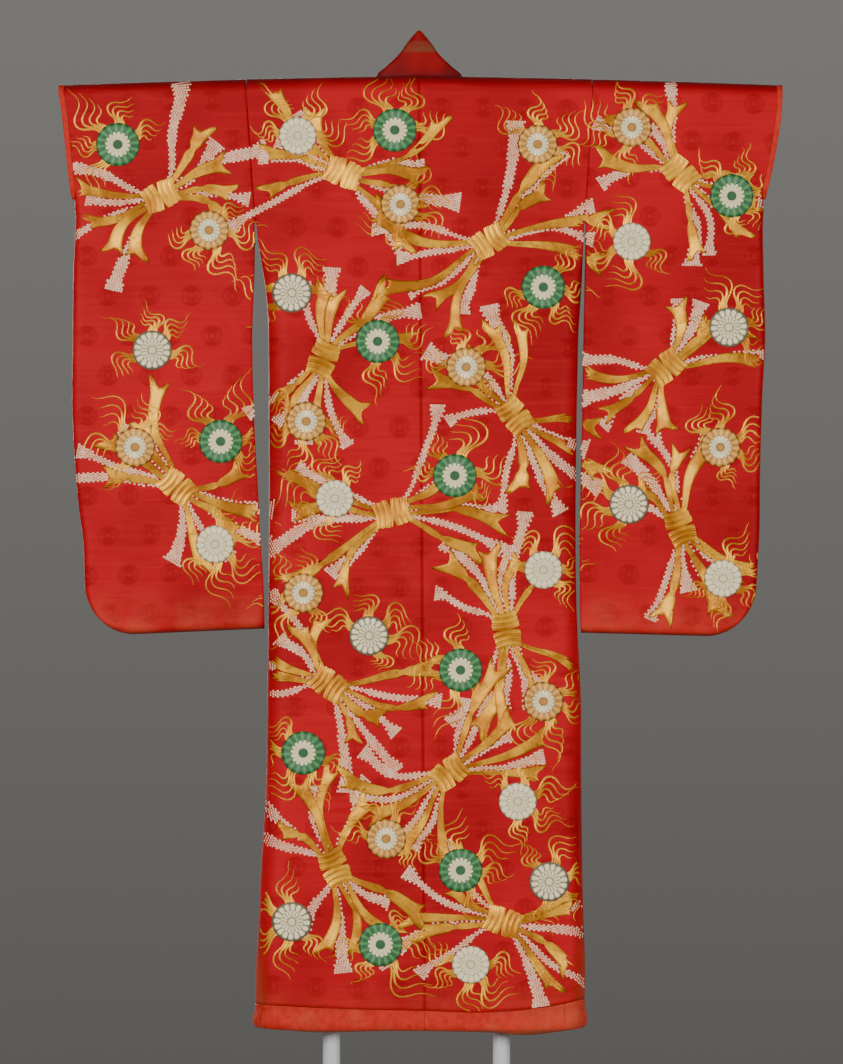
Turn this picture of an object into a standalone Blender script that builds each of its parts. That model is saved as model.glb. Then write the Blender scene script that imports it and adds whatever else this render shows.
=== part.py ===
"""A wedding over-robe (uchikake) hung flat on a display stand, with its back to the viewer.

Units are metres and +Z is up. The robe's back faces -Y and its fronts face +Y.
The wearer's left side is at -X.
The origin is on the floor under the middle of the part.
"""

import math
from collections import namedtuple

import bmesh
import bpy
from mathutils import Vector

# Driving sizes
SEAM_GAP = 0.0003
CLOTH = 0.003
COLLAR_CLOTH = 0.004
CUFF_CLOTH = 0.0045

SHOULDER_HEIGHT = 1.806
SHOULDER_FALL = 0.016
SHOULDER_BEND = 1.3
HALF_SPAN = 0.634

BAR_RADIUS = 0.019
BAR_HALF_LENGTH = 0.610
BAR_CLEARANCE = 0.0006
BAR_END_STEP = 0.004
BAR_END_SHARE = 0.84
BAR_LAST_RING = 0.500
BAR_RINGS = 10
ROUND_STEPS = 24
FOLD_RADIUS = BAR_RADIUS + BAR_CLEARANCE + CLOTH
POST_RADIUS = 0.015
POST_PLACES = {"left": -0.156, "right": 0.142}
PLATE_SIZE = (0.500, 0.340, 0.008)
PLATE_CORNER = 0.030

SIDE_ROUNDING = 0.036
ARMHOLE_BOTTOM = 1.552
SIDE_SEAM_TOP = 1.410
CENTRE_TOP = -0.0026
CENTRE_HEM = 0.0079

NECK_HALF_WIDTH = 0.0865
NECK_BACK = 0.001
FRONT_PANEL_INNER = 0.045
FRONT_EDGE = -0.100
COLLAR_END_HEIGHT = 0.950
OVERLAP_TIP_HEIGHT = 1.565

LIFT_TOP = 0.012
LIFT_TOP_START = 1.770
LIFT_TOP_RUN = 0.150
LIFT_HEM = 0.014
LIFT_HEM_START = 0.900
LIFT_HEM_RUN = 0.700
LIFT_REACH = 0.260
LIFT_FADE = 0.140

CUFF_BOTTOM = 1.572
CUFF_OPENING_RUN = 0.050
CUFF_STRIP_WIDTH = 0.010
CUFF_STRIP_START = 0.026
SLEEVE_CORNER = 0.088
SLEEVE_EDGE_ROUNDING = 0.013
SLEEVE_SEAM_FLAT = 0.0016
SLEEVE_BLEND = 0.110
SLEEVE_LOWEST = 0.830
SLEEVE_BOTTOM_REACH = 0.400
SLEEVE_BOTTOM_PLACES = (0.280, 0.580)
SLEEVE_FLAT_BELOW = 1.300

HEM_ROLL_OUT = 0.005
HEM_ROLL_IN = 0.013
ROLL_TOP_GAP = 0.0006
ROLL_TOP_FULLNESS = 0.15
ROLL_WIDEST = 0.68

SIDES = {"left": -1, "right": 1}

RED_SILK = (0.50, 0.014, 0.018)
LINING_SILK = (0.62, 0.072, 0.030)
STAND_PAINT = (0.42, 0.42, 0.43)
SILK_ROUGHNESS = 0.55
PAINT_ROUGHNESS = 0.45

# Where the rows and columns of the cloth's walls lie
SHOULDER_ROW = 1.800
FOLD_TURNS = [math.radians(turn) for turn in (-90, -72, -54, -36, -18, 2.57, 7.8, 18, 33, 51, 70)]
PANEL_HEIGHTS = (
    1.745, 1.705, 1.660, 1.610, OVERLAP_TIP_HEIGHT + 0.002, OVERLAP_TIP_HEIGHT - 0.002, 1.510, 1.460,
    1.410, 1.340, 1.240, 1.100, 0.950, 0.800, 0.660, 0.520, 0.400, 0.290,
)
OVERLAP_TIP_ROW = OVERLAP_TIP_HEIGHT - 0.0025
OVERLAP_COLUMNS = 5
FLAT_COLUMNS = 8
CORNER_TURNS = [math.radians(turn) for turn in (22, 42, 60, 76, 90)]
COLLAR_HEIGHTS = (1.610, 1.560, 1.500, 1.400, 1.280, 1.160, 1.050, COLLAR_END_HEIGHT)
SLEEVE_SHARES = (0.0, 0.16, 0.32, 0.48, 0.64, 0.80, 0.92)
EDGE_STEPS = (0.0130, 0.0085, 0.0045, 0.0015, 0.0)
SLEEVE_HEIGHTS = (
    1.740, 1.700, 1.660, 1.622, 1.610, 1.598, 1.586, CUFF_BOTTOM, 1.552, 1.500, 1.400, 1.280, 1.150, 1.020,
    0.940, 0.880,
)
SLEEVE_TURNS = {
    "back": [math.radians(turn) for turn in (90, 72, 54, 36, 18, 2.57, 0.4)],
    "front": [math.radians(turn) for turn in (90, 70, 51, 33, 18, 2.57, 0.4)],
}
CUFF_TURNS = [math.radians(turn) for turn in (-90, -72, -54, -36, -18, 2.57, 18, 33, 51, 70, 90)]
ROLL_SHARES = (0.0, 0.2, 0.45, ROLL_WIDEST, 0.85, 0.95, 1.0)
ROLL_TURN_STEPS = 6

# The body's outline from behind, and how far its layers stand from the middle
BodyRow = namedtuple("BodyRow", "height left right half_depth")
BODY_ROWS = (
    BodyRow(1.800, 0.3055, 0.3010, FOLD_RADIUS),
    BodyRow(1.720, 0.3000, 0.2965, 0.0232),
    BodyRow(1.555, 0.2880, 0.2870, 0.0258),
    BodyRow(1.420, 0.2700, 0.2810, 0.0290),
    BodyRow(1.350, 0.2670, 0.2770, 0.0310),
    BodyRow(1.060, 0.2660, 0.2725, 0.0370),
    BodyRow(0.880, 0.2670, 0.2740, 0.0410),
    BodyRow(0.720, 0.2690, 0.2815, 0.0440),
    BodyRow(0.560, 0.2710, 0.2820, 0.0470),
    BodyRow(0.410, 0.2800, 0.2835, 0.0490),
    BodyRow(0.310, 0.2840, 0.2860, 0.0500),
    BodyRow(0.240, 0.2885, 0.2885, 0.0510),
    BodyRow(0.130, 0.2900, 0.2870, 0.0520),
)

# Each sleeve's outline, measured outward from the middle of the robe
SleeveRow = namedtuple("SleeveRow", "height outer inner half_depth")
SLEEVE_ROWS = {
    "left": (
        SleeveRow(1.800, 0.6340, 0.3058, FOLD_RADIUS),
        SleeveRow(1.755, 0.6280, 0.3030, 0.0215),
        SleeveRow(1.615, 0.6135, 0.2955, 0.0175),
        SleeveRow(1.565, 0.6045, 0.2915, 0.0165),
        SleeveRow(1.475, 0.6080, 0.2910, 0.0150),
        SleeveRow(1.350, 0.6095, 0.2950, 0.0140),
        SleeveRow(1.207, 0.6095, 0.2915, 0.0132),
        SleeveRow(1.066, 0.6000, 0.2840, 0.0130),
        SleeveRow(0.996, 0.5910, 0.2810, 0.0130),
        SleeveRow(0.915, 0.5880, 0.2755, 0.0130),
        SleeveRow(0.825, 0.5840, 0.2730, 0.0130),
    ),
    "right": (
        SleeveRow(1.800, 0.6340, 0.3013, FOLD_RADIUS),
        SleeveRow(1.755, 0.6320, 0.2995, 0.0215),
        SleeveRow(1.660, 0.6175, 0.2955, 0.0185),
        SleeveRow(1.578, 0.6015, 0.2905, 0.0165),
        SleeveRow(1.470, 0.6010, 0.2880, 0.0150),
        SleeveRow(1.350, 0.6040, 0.2855, 0.0140),
        SleeveRow(1.250, 0.5990, 0.2838, 0.0134),
        SleeveRow(1.111, 0.5950, 0.2812, 0.0130),
        SleeveRow(1.017, 0.5940, 0.2790, 0.0130),
        SleeveRow(0.915, 0.5885, 0.2790, 0.0130),
        SleeveRow(0.825, 0.5845, 0.2805, 0.0130),
    ),
}
SleeveBottom = namedtuple("SleeveBottom", "inner outer")
SLEEVE_BOTTOMS = {"left": SleeveBottom(0.842, 0.829), "right": SleeveBottom(0.835, 0.827)}

# The lower edge of the red cloth, and the bottom of the padded roll below it
HemRow = namedtuple("HemRow", "place height")
CLOTH_EDGE_ROWS = (
    HemRow(-0.300, 0.1870),
    HemRow(-0.276, 0.1855),
    HemRow(-0.141, 0.1785),
    HemRow(0.006, 0.1750),
    HemRow(0.120, 0.1722),
    HemRow(0.223, 0.1820),
    HemRow(0.283, 0.1940),
    HemRow(0.300, 0.1960),
)
ROLL_BOTTOM_ROWS = (
    HemRow(-0.300, 0.1440),
    HemRow(-0.232, 0.1400),
    HemRow(-0.176, 0.1365),
    HemRow(-0.043, 0.1388),
    HemRow(0.111, 0.1365),
    HemRow(0.188, 0.1320),
    HemRow(0.267, 0.1409),
    HemRow(0.300, 0.1440),
)

# Soft upright flutes in the body cloth, deepest at the hem and gone at their tops
Flute = namedtuple("Flute", "place top width depth")
FLUTES = (
    Flute(-0.215, 0.95, 0.040, 0.0050),
    Flute(-0.110, 0.70, 0.052, -0.0040),
    Flute(0.045, 0.85, 0.060, 0.0030),
    Flute(0.185, 0.78, 0.038, 0.0060),
    Flute(0.240, 0.60, 0.026, -0.0035),
)
HEM_LEVEL = 0.180
HEM_WAVE_REACH = 0.600
ARCH_START = 1.500

# The turn round the side at which the side seam sits, 90 degrees being the outermost line
SeamRow = namedtuple("SeamRow", "height left right")
SEAM_ROWS = (SeamRow(0.60, 90.0, 90.0), SeamRow(0.50, 62.0, 76.0), SeamRow(0.15, 42.0, 62.0))

# The collar round the nape: its sewn edge, its crease and its free edge, out from the middle, forward and up
NapeRow = namedtuple("NapeRow", "base crease edge")
NAPE_ROWS = (
    NapeRow((0.0000, 0.0042, -0.0022), (0.0000, 0.0130, 0.0765), (0.0000, 0.0145, 0.0800)),
    NapeRow((0.0160, 0.0048, -0.0023), (0.0160, 0.0125, 0.0605), (0.0080, 0.0270, 0.0665)),
    NapeRow((0.0340, 0.0066, -0.0026), (0.0335, 0.0120, 0.0385), (0.0140, 0.0460, 0.0500)),
    NapeRow((0.0560, 0.0102, -0.0042), (0.0560, 0.0135, 0.0165), (0.0200, 0.0580, 0.0280)),
    NapeRow((0.0705, 0.0165, -0.0070), (0.0700, 0.0200, 0.0030), (0.0250, 0.0660, 0.0040)),
    NapeRow((0.0815, 0.0222, -0.0170), (0.0730, 0.0330, -0.0100), (0.0250, 0.0700, -0.0120)),
)

# The collar's fall down each front: below the shoulder, and how far its middle and free edge bulge forward
FallRow = namedtuple("FallRow", "drop middle_out edge_out edge_reach")
FALL_ROWS = (
    FallRow(0.0320, 0.018, 0.046, 0.060),
    FallRow(0.0550, 0.018, 0.040, 0.064),
    FallRow(0.0900, 0.013, 0.025, 0.072),
    FallRow(0.1400, 0.004, 0.008, 0.080),
)


def smooth(share):
    share = min(max(share, 0.0), 1.0)
    return share * share * (3.0 - 2.0 * share)


def mix(low, high, share):
    return low + (high - low) * share


def read(rows, column, at, key="height"):
    """A column's value at a place between a table's rows, on a smooth line through them."""
    ordered = sorted(rows, key=lambda row: getattr(row, key))
    places = [getattr(row, key) for row in ordered]
    values = [getattr(row, column) for row in ordered]
    at = min(max(at, places[0]), places[-1])
    step = 0
    while step < len(places) - 2 and at > places[step + 1]:
        step += 1

    def slope(number):
        before = max(number - 1, 0)
        after = min(number + 1, len(places) - 1)
        return (values[after] - values[before]) / (places[after] - places[before])

    run = places[step + 1] - places[step]
    share = (at - places[step]) / run
    rise = values[step + 1] - values[step]
    first = slope(step) * run
    last = slope(step + 1) * run
    bend = 3 * rise - 2 * first - last
    twist = first + last - 2 * rise
    return values[step] + share * (first + share * (bend + share * twist))


def shoulder_top(x):
    return SHOULDER_HEIGHT - SHOULDER_FALL * (abs(x) / HALF_SPAN) ** SHOULDER_BEND


def bar_height(x):
    return shoulder_top(x) - FOLD_RADIUS


def cloth_height(x, height):
    """A row's real height at x: rows follow the hem's wave low down and the bar's arch high up."""
    hem = read(CLOTH_EDGE_ROWS, "height", x, "place") - HEM_LEVEL
    fall = bar_height(x) - bar_height(0.0)
    arched = smooth((height - ARCH_START) / (bar_height(0.0) - ARCH_START))
    return height + hem * (1.0 - smooth((height - HEM_LEVEL) / HEM_WAVE_REACH)) + fall * arched


def centre_seam(height):
    return mix(CENTRE_HEM, CENTRE_TOP, height / SHOULDER_HEIGHT)


def flute_depth(x, height):
    total = 0.0
    for flute in FLUTES:
        if height < flute.top:
            share = (flute.top - height) / (flute.top - HEM_LEVEL)
            total += flute.depth * smooth(share) * math.exp(-(((x - flute.place) / flute.width) ** 2))
    return total


def layer_depth(x, height):
    return read(BODY_ROWS, "half_depth", height) + flute_depth(x, height)


def front_lift(side, across, height):
    """How far the left front, which laps over the right one, stands out from it."""
    if side == "right":
        return 0.0
    top = LIFT_TOP * smooth((LIFT_TOP_START - height) / LIFT_TOP_RUN)
    hem = LIFT_HEM * smooth((LIFT_HEM_START - height) / LIFT_HEM_RUN)
    return (top + hem) * smooth((LIFT_REACH - across) / LIFT_FADE)


def collar_seam(height):
    """How far from the middle, on its own side, a front's collar seam lies."""
    share = (SHOULDER_HEIGHT - FOLD_RADIUS - height) / (SHOULDER_HEIGHT - FOLD_RADIUS - COLLAR_END_HEIGHT)
    return mix(NECK_HALF_WIDTH, FRONT_EDGE, min(max(share, 0.0), 1.0))


def front_panel_edge(height):
    if height > OVERLAP_TIP_HEIGHT:
        return collar_seam(height) + SEAM_GAP / 2
    return FRONT_PANEL_INNER + SEAM_GAP / 2


def side_closure(height):
    """0 where the body's sides are open at the armholes, 1 where the side seams hold them together."""
    return smooth((ARMHOLE_BOTTOM - height) / (ARMHOLE_BOTTOM - SIDE_SEAM_TOP))


def neckline(turn):
    """The neckline's distance from the middle at a turn over the shoulder fold."""
    share = (FOLD_RADIUS * math.sin(turn) - NECK_BACK) / (FOLD_RADIUS - NECK_BACK)
    return NECK_HALF_WIDTH * math.sin(math.acos(max(1.0 - share, 0.0))) + SEAM_GAP


def front_depth(side, across, height):
    """Where a front's outer face lies, forward of the middle."""
    x = SIDES[side] * across
    return layer_depth(x, height) + front_lift(side, across, height)


def new_object(name, mesh_builder, color, roughness):
    mesh = bpy.data.meshes.new(name)
    mesh_builder.to_mesh(mesh)
    mesh_builder.free()
    mesh.shade_smooth()
    mesh.set_sharp_from_angle(angle=math.radians(40))
    item = bpy.data.objects.new(name, mesh)
    bpy.context.scene.collection.objects.link(item)
    material = bpy.data.materials.new(name)
    material.use_nodes = True
    shader = material.node_tree.nodes["Principled BSDF"]
    shader.inputs["Base Color"].default_value = (*color, 1.0)
    shader.inputs["Roughness"].default_value = roughness
    mesh.materials.append(material)
    return item


def cloth_wall(name, grid, thickness, offset, color, roughness):
    """A wall of cloth over a grid of points, sewn together where points of the grid meet."""
    builder = bmesh.new()
    rows = [[builder.verts.new(point) for point in row] for row in grid]
    for upper, lower in zip(rows, rows[1:]):
        for near in range(len(upper) - 1):
            builder.faces.new((upper[near], upper[near + 1], lower[near + 1], lower[near]))
    bmesh.ops.remove_doubles(builder, verts=builder.verts, dist=0.00002)
    item = new_object(name, builder, color, roughness)
    wall = item.modifiers.new("Wall", "SOLIDIFY")
    wall.thickness = thickness
    wall.offset = offset
    wall.use_even_offset = True
    return item


def body_row(side, height, inner, layer):
    """One row of a body panel, from its inner edge to its side, at a height on the back or the front."""
    sign = SIDES[side]
    closure = side_closure(height)
    outer = read(BODY_ROWS, side, height)
    corner = outer - SIDE_ROUNDING
    depth_sign = -1 if layer == "back" else 1
    places = [(mix(inner, corner, step / FLAT_COLUMNS), 1.0) for step in range(FLAT_COLUMNS + 1)]
    for turn in CORNER_TURNS:
        places.append((corner + SIDE_ROUNDING * math.sin(turn), 1.0 - closure * (1.0 - math.cos(turn))))
    row = []
    for across, share in places:
        x = sign * across
        depth = layer_depth(x, height)
        if layer == "front":
            depth = front_depth(side, across, height)
        y = depth_sign * depth * share
        if closure > 0.999 and share < 0.001:
            y = 0.0
        row.append((x, y))
    return row


def body_panel(side):
    """A body panel: one length of cloth from the back hem, over the shoulder, to the front hem."""
    sign = SIDES[side]
    grid = []
    for height in (HEM_LEVEL, *PANEL_HEIGHTS[::-1]):
        inner = sign * centre_seam(height) + SEAM_GAP / 2
        row = body_row(side, height, inner, "back")
        grid.append([(x, y, cloth_height(x, height)) for x, y in row])
    for turn in FOLD_TURNS:
        inner = sign * centre_seam(SHOULDER_HEIGHT) + SEAM_GAP / 2
        if FOLD_RADIUS * math.sin(turn) > NECK_BACK:
            inner = max(inner, neckline(turn))
        row = []
        for x, _ in body_row(side, SHOULDER_HEIGHT, inner, "back"):
            row.append((x, FOLD_RADIUS * math.sin(turn), bar_height(x) + FOLD_RADIUS * math.cos(turn)))
        grid.append(row)
    for height in (bar_height(0.0), *PANEL_HEIGHTS, HEM_LEVEL):
        row = body_row(side, height, front_panel_edge(height), "front")
        grid.append([(x, y, cloth_height(x, height)) for x, y in row])
    if side == "left":
        grid = [row[::-1] for row in grid]
    return cloth_wall(f"body_{side}", grid, CLOTH, -1, RED_SILK, SILK_ROUGHNESS)


def overlap_panel(side):
    """The tapered panel that widens a front, from its blunt tip at the collar down to the hem."""
    sign = SIDES[side]
    below = [height for height in PANEL_HEIGHTS if height < OVERLAP_TIP_ROW - 0.001]
    heights = [OVERLAP_TIP_ROW, *below, HEM_LEVEL]
    grid = []
    for height in heights:
        outer = FRONT_PANEL_INNER - SEAM_GAP / 2
        inner = collar_seam(height) + SEAM_GAP / 2
        row = []
        for step in range(OVERLAP_COLUMNS + 1):
            across = mix(inner, outer, step / OVERLAP_COLUMNS)
            x = sign * across
            row.append((x, front_depth(side, across, height), cloth_height(x, height)))
        grid.append(row)
    if side == "left":
        grid = [row[::-1] for row in grid]
    return cloth_wall(f"overlap_{side}", grid, CLOTH, -1, RED_SILK, SILK_ROUGHNESS)


def collar_sections(side):
    """Half of the collar, from the nape to its lower end, each section from sewn edge to free edge."""
    sign = SIDES[side]
    middle = CENTRE_TOP
    sections = []
    for row in NAPE_ROWS:
        points = [Vector((sign * out + middle, forward, SHOULDER_HEIGHT + up)) for out, forward, up in row]
        base, crease, edge = points
        sections.append([base, (base + crease) / 2, crease, (crease + edge) / 2, edge])
    heights = [SHOULDER_HEIGHT - row.drop for row in FALL_ROWS]
    heights += COLLAR_HEIGHTS
    for number, height in enumerate(heights):
        fall = FALL_ROWS[min(number, len(FALL_ROWS) - 1)]
        bulge = number < len(FALL_ROWS)
        seam = collar_seam(height) - SEAM_GAP / 2
        if bulge:
            seam -= COLLAR_CLOTH / 2
        section = []
        for share in (0.0, 0.25, 0.5, 0.75, 1.0):
            across = seam - fall.edge_reach * share
            depth = front_depth(side, across, height) - COLLAR_CLOTH / 2
            if bulge and share <= 0.5:
                depth += fall.middle_out * share / 0.5
            elif bulge:
                depth += mix(fall.middle_out, fall.edge_out, share / 0.5 - 1.0)
            x = sign * across
            section.append(Vector((x, depth, cloth_height(x, height))))
        sections.append(section)
    return sections


def collar():
    """The collar band: standing at the nape, folding forward over the shoulders and down both fronts."""
    left = collar_sections("left")
    right = collar_sections("right")
    grid = left[:0:-1] + right
    return cloth_wall("collar", grid, COLLAR_CLOTH, 0, RED_SILK, SILK_ROUGHNESS)


def rounding(distance):
    """How full a closed edge is at a distance inside it: 0 on the edge, 1 where the layers lie apart."""
    share = min(max(distance / SLEEVE_EDGE_ROUNDING, 0.0), 1.0)
    return math.sqrt(1.0 - (1.0 - share) ** 2)


def cuff_open(height):
    return smooth((height - CUFF_BOTTOM) / CUFF_OPENING_RUN)


def sleeve_outer(side, height):
    """The red cloth's outer edge, inside the strip of lining that edges the wrist opening."""
    return read(SLEEVE_ROWS[side], "outer", height) - CUFF_STRIP_WIDTH * cuff_open(height)


def sleeve_inner(side, height):
    inner = read(SLEEVE_ROWS[side], "inner", height)
    if height > ARMHOLE_BOTTOM:
        inner = read(BODY_ROWS, side, height) + SEAM_GAP
    return inner


def sleeve_depth(side, across, height):
    """A sleeve layer's distance from the middle: the body's at the armhole seam, flatter further out."""
    own = read(SLEEVE_ROWS[side], "half_depth", height)
    body = layer_depth(SIDES[side] * across, max(height, ARMHOLE_BOTTOM))
    held = smooth((height - SLEEVE_FLAT_BELOW) / (ARMHOLE_BOTTOM - SLEEVE_FLAT_BELOW))
    near = 1.0 - smooth((across - sleeve_inner(side, height)) / SLEEVE_BLEND)
    return mix(own, body, near * held)


def sleeve_point(side, place, height, on_seam):
    """A point on a sleeve layer from its column and its height on a square-cornered panel: x, depth, z."""
    share, inset = place
    inner = sleeve_inner(side, height)
    outer = sleeve_outer(side, height)
    across = mix(inner, outer - EDGE_STEPS[0], share) if inset is None else outer - inset
    bottoms = SLEEVE_BOTTOMS[side]
    near, far = SLEEVE_BOTTOM_PLACES
    bottom = mix(bottoms.inner, bottoms.outer, (across - near) / (far - near))
    lowered = (bottom - SLEEVE_LOWEST) * (1.0 - smooth((height - SLEEVE_LOWEST) / SLEEVE_BOTTOM_REACH))
    z = cloth_height(SIDES[side] * across, height) + lowered
    filled = rounding(height - SLEEVE_LOWEST)
    side_fill = mix(rounding(outer - across), 1.0, cuff_open(height))
    least = SEAM_GAP / 2 if on_seam else SLEEVE_SEAM_FLAT
    depth = max(sleeve_depth(side, across, height) * filled * side_fill, least)
    beyond = (across - (outer - SLEEVE_CORNER)) / SLEEVE_CORNER
    below = ((bottom + SLEEVE_CORNER) - z) / SLEEVE_CORNER
    if beyond > 0 and below > 0:
        beyond_round = beyond * math.sqrt(1.0 - below * below / 2.0)
        below_round = below * math.sqrt(1.0 - beyond * beyond / 2.0)
        across = outer - SLEEVE_CORNER + SLEEVE_CORNER * beyond_round
        z = bottom + SLEEVE_CORNER - SLEEVE_CORNER * below_round
    return SIDES[side] * across, depth, z


def sleeve_layer(side, layer):
    """A sleeve's back or front, from its closed bottom up to the shoulder, with a flat seam edge."""
    columns = [(share, None) for share in SLEEVE_SHARES] + [(1.0, inset) for inset in EDGE_STEPS]
    heights = [*SLEEVE_HEIGHTS, *[SLEEVE_LOWEST + inset for inset in EDGE_STEPS]]
    depth_sign = -1 if layer == "back" else 1
    edge_row = [sleeve_point(side, place, SLEEVE_LOWEST, True) for place in columns]
    grid = [[*edge_row, edge_row[-1]]]
    for height in heights[::-1]:
        row = [sleeve_point(side, place, height, False) for place in columns]
        grid.append([*row, sleeve_point(side, columns[-1], height, True)])
    grid = [[(x, depth_sign * depth, z) for x, depth, z in row] for row in grid]
    for turn in SLEEVE_TURNS[layer]:
        row = []
        for place in (*columns, columns[-1]):
            x, _, _ = sleeve_point(side, place, SHOULDER_ROW, False)
            y = depth_sign * FOLD_RADIUS * math.sin(turn)
            row.append((x, y, bar_height(x) + FOLD_RADIUS * math.cos(turn)))
        grid.append(row)
    if (side == "left") == (layer == "back"):
        grid = [row[::-1] for row in grid]
    return cloth_wall(f"sleeve_{side}_{layer}", grid, CLOTH, -1, RED_SILK, SILK_ROUGHNESS)


def cuff_lining(side):
    """The lining turned out as a narrow strip round the wrist opening."""
    sign = SIDES[side]
    heights = [height for height in SLEEVE_HEIGHTS if height > CUFF_BOTTOM + CUFF_STRIP_START]
    heights.append(CUFF_BOTTOM + CUFF_STRIP_START)

    def strip_row(height, depth_sign, turn=None):
        inner = sleeve_outer(side, height) + SEAM_GAP
        outer = read(SLEEVE_ROWS[side], "outer", height)
        row = []
        for share in (0.0, 0.5, 1.0):
            x = sign * mix(inner, outer, share)
            if turn is None:
                y = depth_sign * sleeve_depth(side, abs(x), height) * cuff_open(height)
                row.append((x, y, cloth_height(x, height)))
            else:
                row.append((x, FOLD_RADIUS * math.sin(turn), bar_height(x) + FOLD_RADIUS * math.cos(turn)))
        return row

    grid = [strip_row(height, -1) for height in heights[::-1]]
    grid += [strip_row(SHOULDER_ROW, -1, turn) for turn in CUFF_TURNS]
    grid += [strip_row(height, 1) for height in heights]
    if side == "left":
        grid = [row[::-1] for row in grid]
    return cloth_wall(f"cuff_lining_{side}", grid, CUFF_CLOTH, -1, LINING_SILK, SILK_ROUGHNESS)


def hem_place(side, turn_or_across, layer):
    """A point of the body's outer face at the hem, either round the side by a turn or on a flat layer."""
    sign = SIDES[side]
    if layer == "turn":
        corner = read(BODY_ROWS, side, HEM_LEVEL) - SIDE_ROUNDING
        across = corner + SIDE_ROUNDING * math.sin(turn_or_across)
        x = sign * across
        share = math.cos(turn_or_across)
        if share > 0:
            return Vector((x, -layer_depth(x, HEM_LEVEL) * share, 0.0))
        return Vector((x, -front_depth(side, across, HEM_LEVEL) * share, 0.0))
    x = sign * turn_or_across
    if layer == "back":
        return Vector((x, -layer_depth(x, HEM_LEVEL), 0.0))
    return Vector((x, front_depth(side, turn_or_across, HEM_LEVEL), 0.0))


def roll_profile():
    """The padded roll in section: outward and share of the drop, from its top round its bottom and up."""
    outside = []
    inside = []
    for share in ROLL_SHARES:
        if share <= ROLL_WIDEST:
            fullness = mix(ROLL_TOP_FULLNESS, 1.0, smooth(share / ROLL_WIDEST))
        else:
            fullness = math.sqrt(max(1.0 - ((share - ROLL_WIDEST) / (1.0 - ROLL_WIDEST)) ** 2, 0.0))
        centre = mix(-CLOTH / 2, (HEM_ROLL_OUT - HEM_ROLL_IN) / 2, smooth(share / 0.5))
        half = (HEM_ROLL_OUT + HEM_ROLL_IN) / 2 * fullness
        outside.append((centre + half, share))
        inside.append((centre - half, share))
    return outside + inside[-2::-1]


def hem_roll(name, path):
    """One length of the padded lining roll, along a path of hem points."""
    profile = roll_profile()
    builder = bmesh.new()
    rings = []
    for before, point, after in path:
        along = (after - before).normalized()
        outward = Vector((along.y, -along.x, 0.0))
        top = read(CLOTH_EDGE_ROWS, "height", point.x, "place") - ROLL_TOP_GAP
        bottom = read(ROLL_BOTTOM_ROWS, "height", point.x, "place")
        ring = []
        for out, share in profile:
            place = point + outward * out
            ring.append(builder.verts.new((place.x, place.y, mix(top, bottom, share))))
        rings.append(ring)
    count = len(profile)
    for first, second in zip(rings, rings[1:]):
        for near in range(count):
            after = (near + 1) % count
            builder.faces.new((first[near], first[after], second[after], second[near]))
    builder.faces.new(rings[0])
    builder.faces.new(rings[-1][::-1])
    bmesh.ops.recalc_face_normals(builder, faces=builder.faces)
    return new_object(name, builder, LINING_SILK, SILK_ROUGHNESS)


def hem_rolls(side):
    """The roll in the panels' own lengths: back, front and overlap."""
    sign = SIDES[side]
    corner = read(BODY_ROWS, side, HEM_LEVEL) - SIDE_ROUNDING
    seam_turn = math.radians(read(SEAM_ROWS, side, HEM_LEVEL))
    turn_gap = SEAM_GAP / 2 / SIDE_ROUNDING
    centre = sign * centre_seam(HEM_LEVEL) + SEAM_GAP / 2

    def path(places):
        steps = []
        for layer, value in places:
            nudge = 0.002 if layer != "turn" else 0.03
            heading = -1 if layer == "front" else 1
            before = hem_place(side, value - nudge * heading, layer)
            after = hem_place(side, value + nudge * heading, layer)
            if side == "left":
                before, after = after, before
            steps.append((before, hem_place(side, value, layer), after))
        return steps

    back = [("back", mix(centre, corner, step / FLAT_COLUMNS)) for step in range(FLAT_COLUMNS + 1)]
    back += [("turn", seam_turn / 2), ("turn", seam_turn - turn_gap)]
    hem_roll(f"hem_roll_back_{side}", path(back))
    front = [("turn", seam_turn + turn_gap)]
    for step in range(1, ROLL_TURN_STEPS):
        front.append(("turn", mix(seam_turn, math.pi, step / ROLL_TURN_STEPS)))
    front_inner = FRONT_PANEL_INNER + SEAM_GAP / 2
    front += [("front", mix(corner, front_inner, step / FLAT_COLUMNS)) for step in range(FLAT_COLUMNS + 1)]
    hem_roll(f"hem_roll_front_{side}", path(front))
    overlap_outer = FRONT_PANEL_INNER - SEAM_GAP / 2
    overlap = []
    for step in range(OVERLAP_COLUMNS + 1):
        overlap.append(("front", mix(overlap_outer, FRONT_EDGE, step / OVERLAP_COLUMNS)))
    hem_roll(f"hem_roll_overlap_{side}", path(overlap))


def crossbar():
    """The bar through the sleeves, arched a little so that its ends drop with the shoulder line."""
    builder = bmesh.new()
    rings = []
    places = [(-BAR_HALF_LENGTH, BAR_END_SHARE), (-BAR_HALF_LENGTH + BAR_END_STEP, 1.0)]
    places += [(mix(-BAR_LAST_RING, BAR_LAST_RING, step / BAR_RINGS), 1.0) for step in range(BAR_RINGS + 1)]
    places += [(BAR_HALF_LENGTH - BAR_END_STEP, 1.0), (BAR_HALF_LENGTH, BAR_END_SHARE)]
    for x, share in places:
        ring = []
        for number in range(ROUND_STEPS):
            turn = 2 * math.pi * number / ROUND_STEPS
            y = BAR_RADIUS * share * math.cos(turn)
            ring.append(builder.verts.new((x, y, bar_height(x) + BAR_RADIUS * share * math.sin(turn))))
        rings.append(ring)
    for first, second in zip(rings, rings[1:]):
        for near in range(ROUND_STEPS):
            after = (near + 1) % ROUND_STEPS
            builder.faces.new((first[near], first[after], second[after], second[near]))
    builder.faces.new(rings[0])
    builder.faces.new(rings[-1][::-1])
    bmesh.ops.recalc_face_normals(builder, faces=builder.faces)
    return new_object("crossbar", builder, STAND_PAINT, PAINT_ROUGHNESS)


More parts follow.
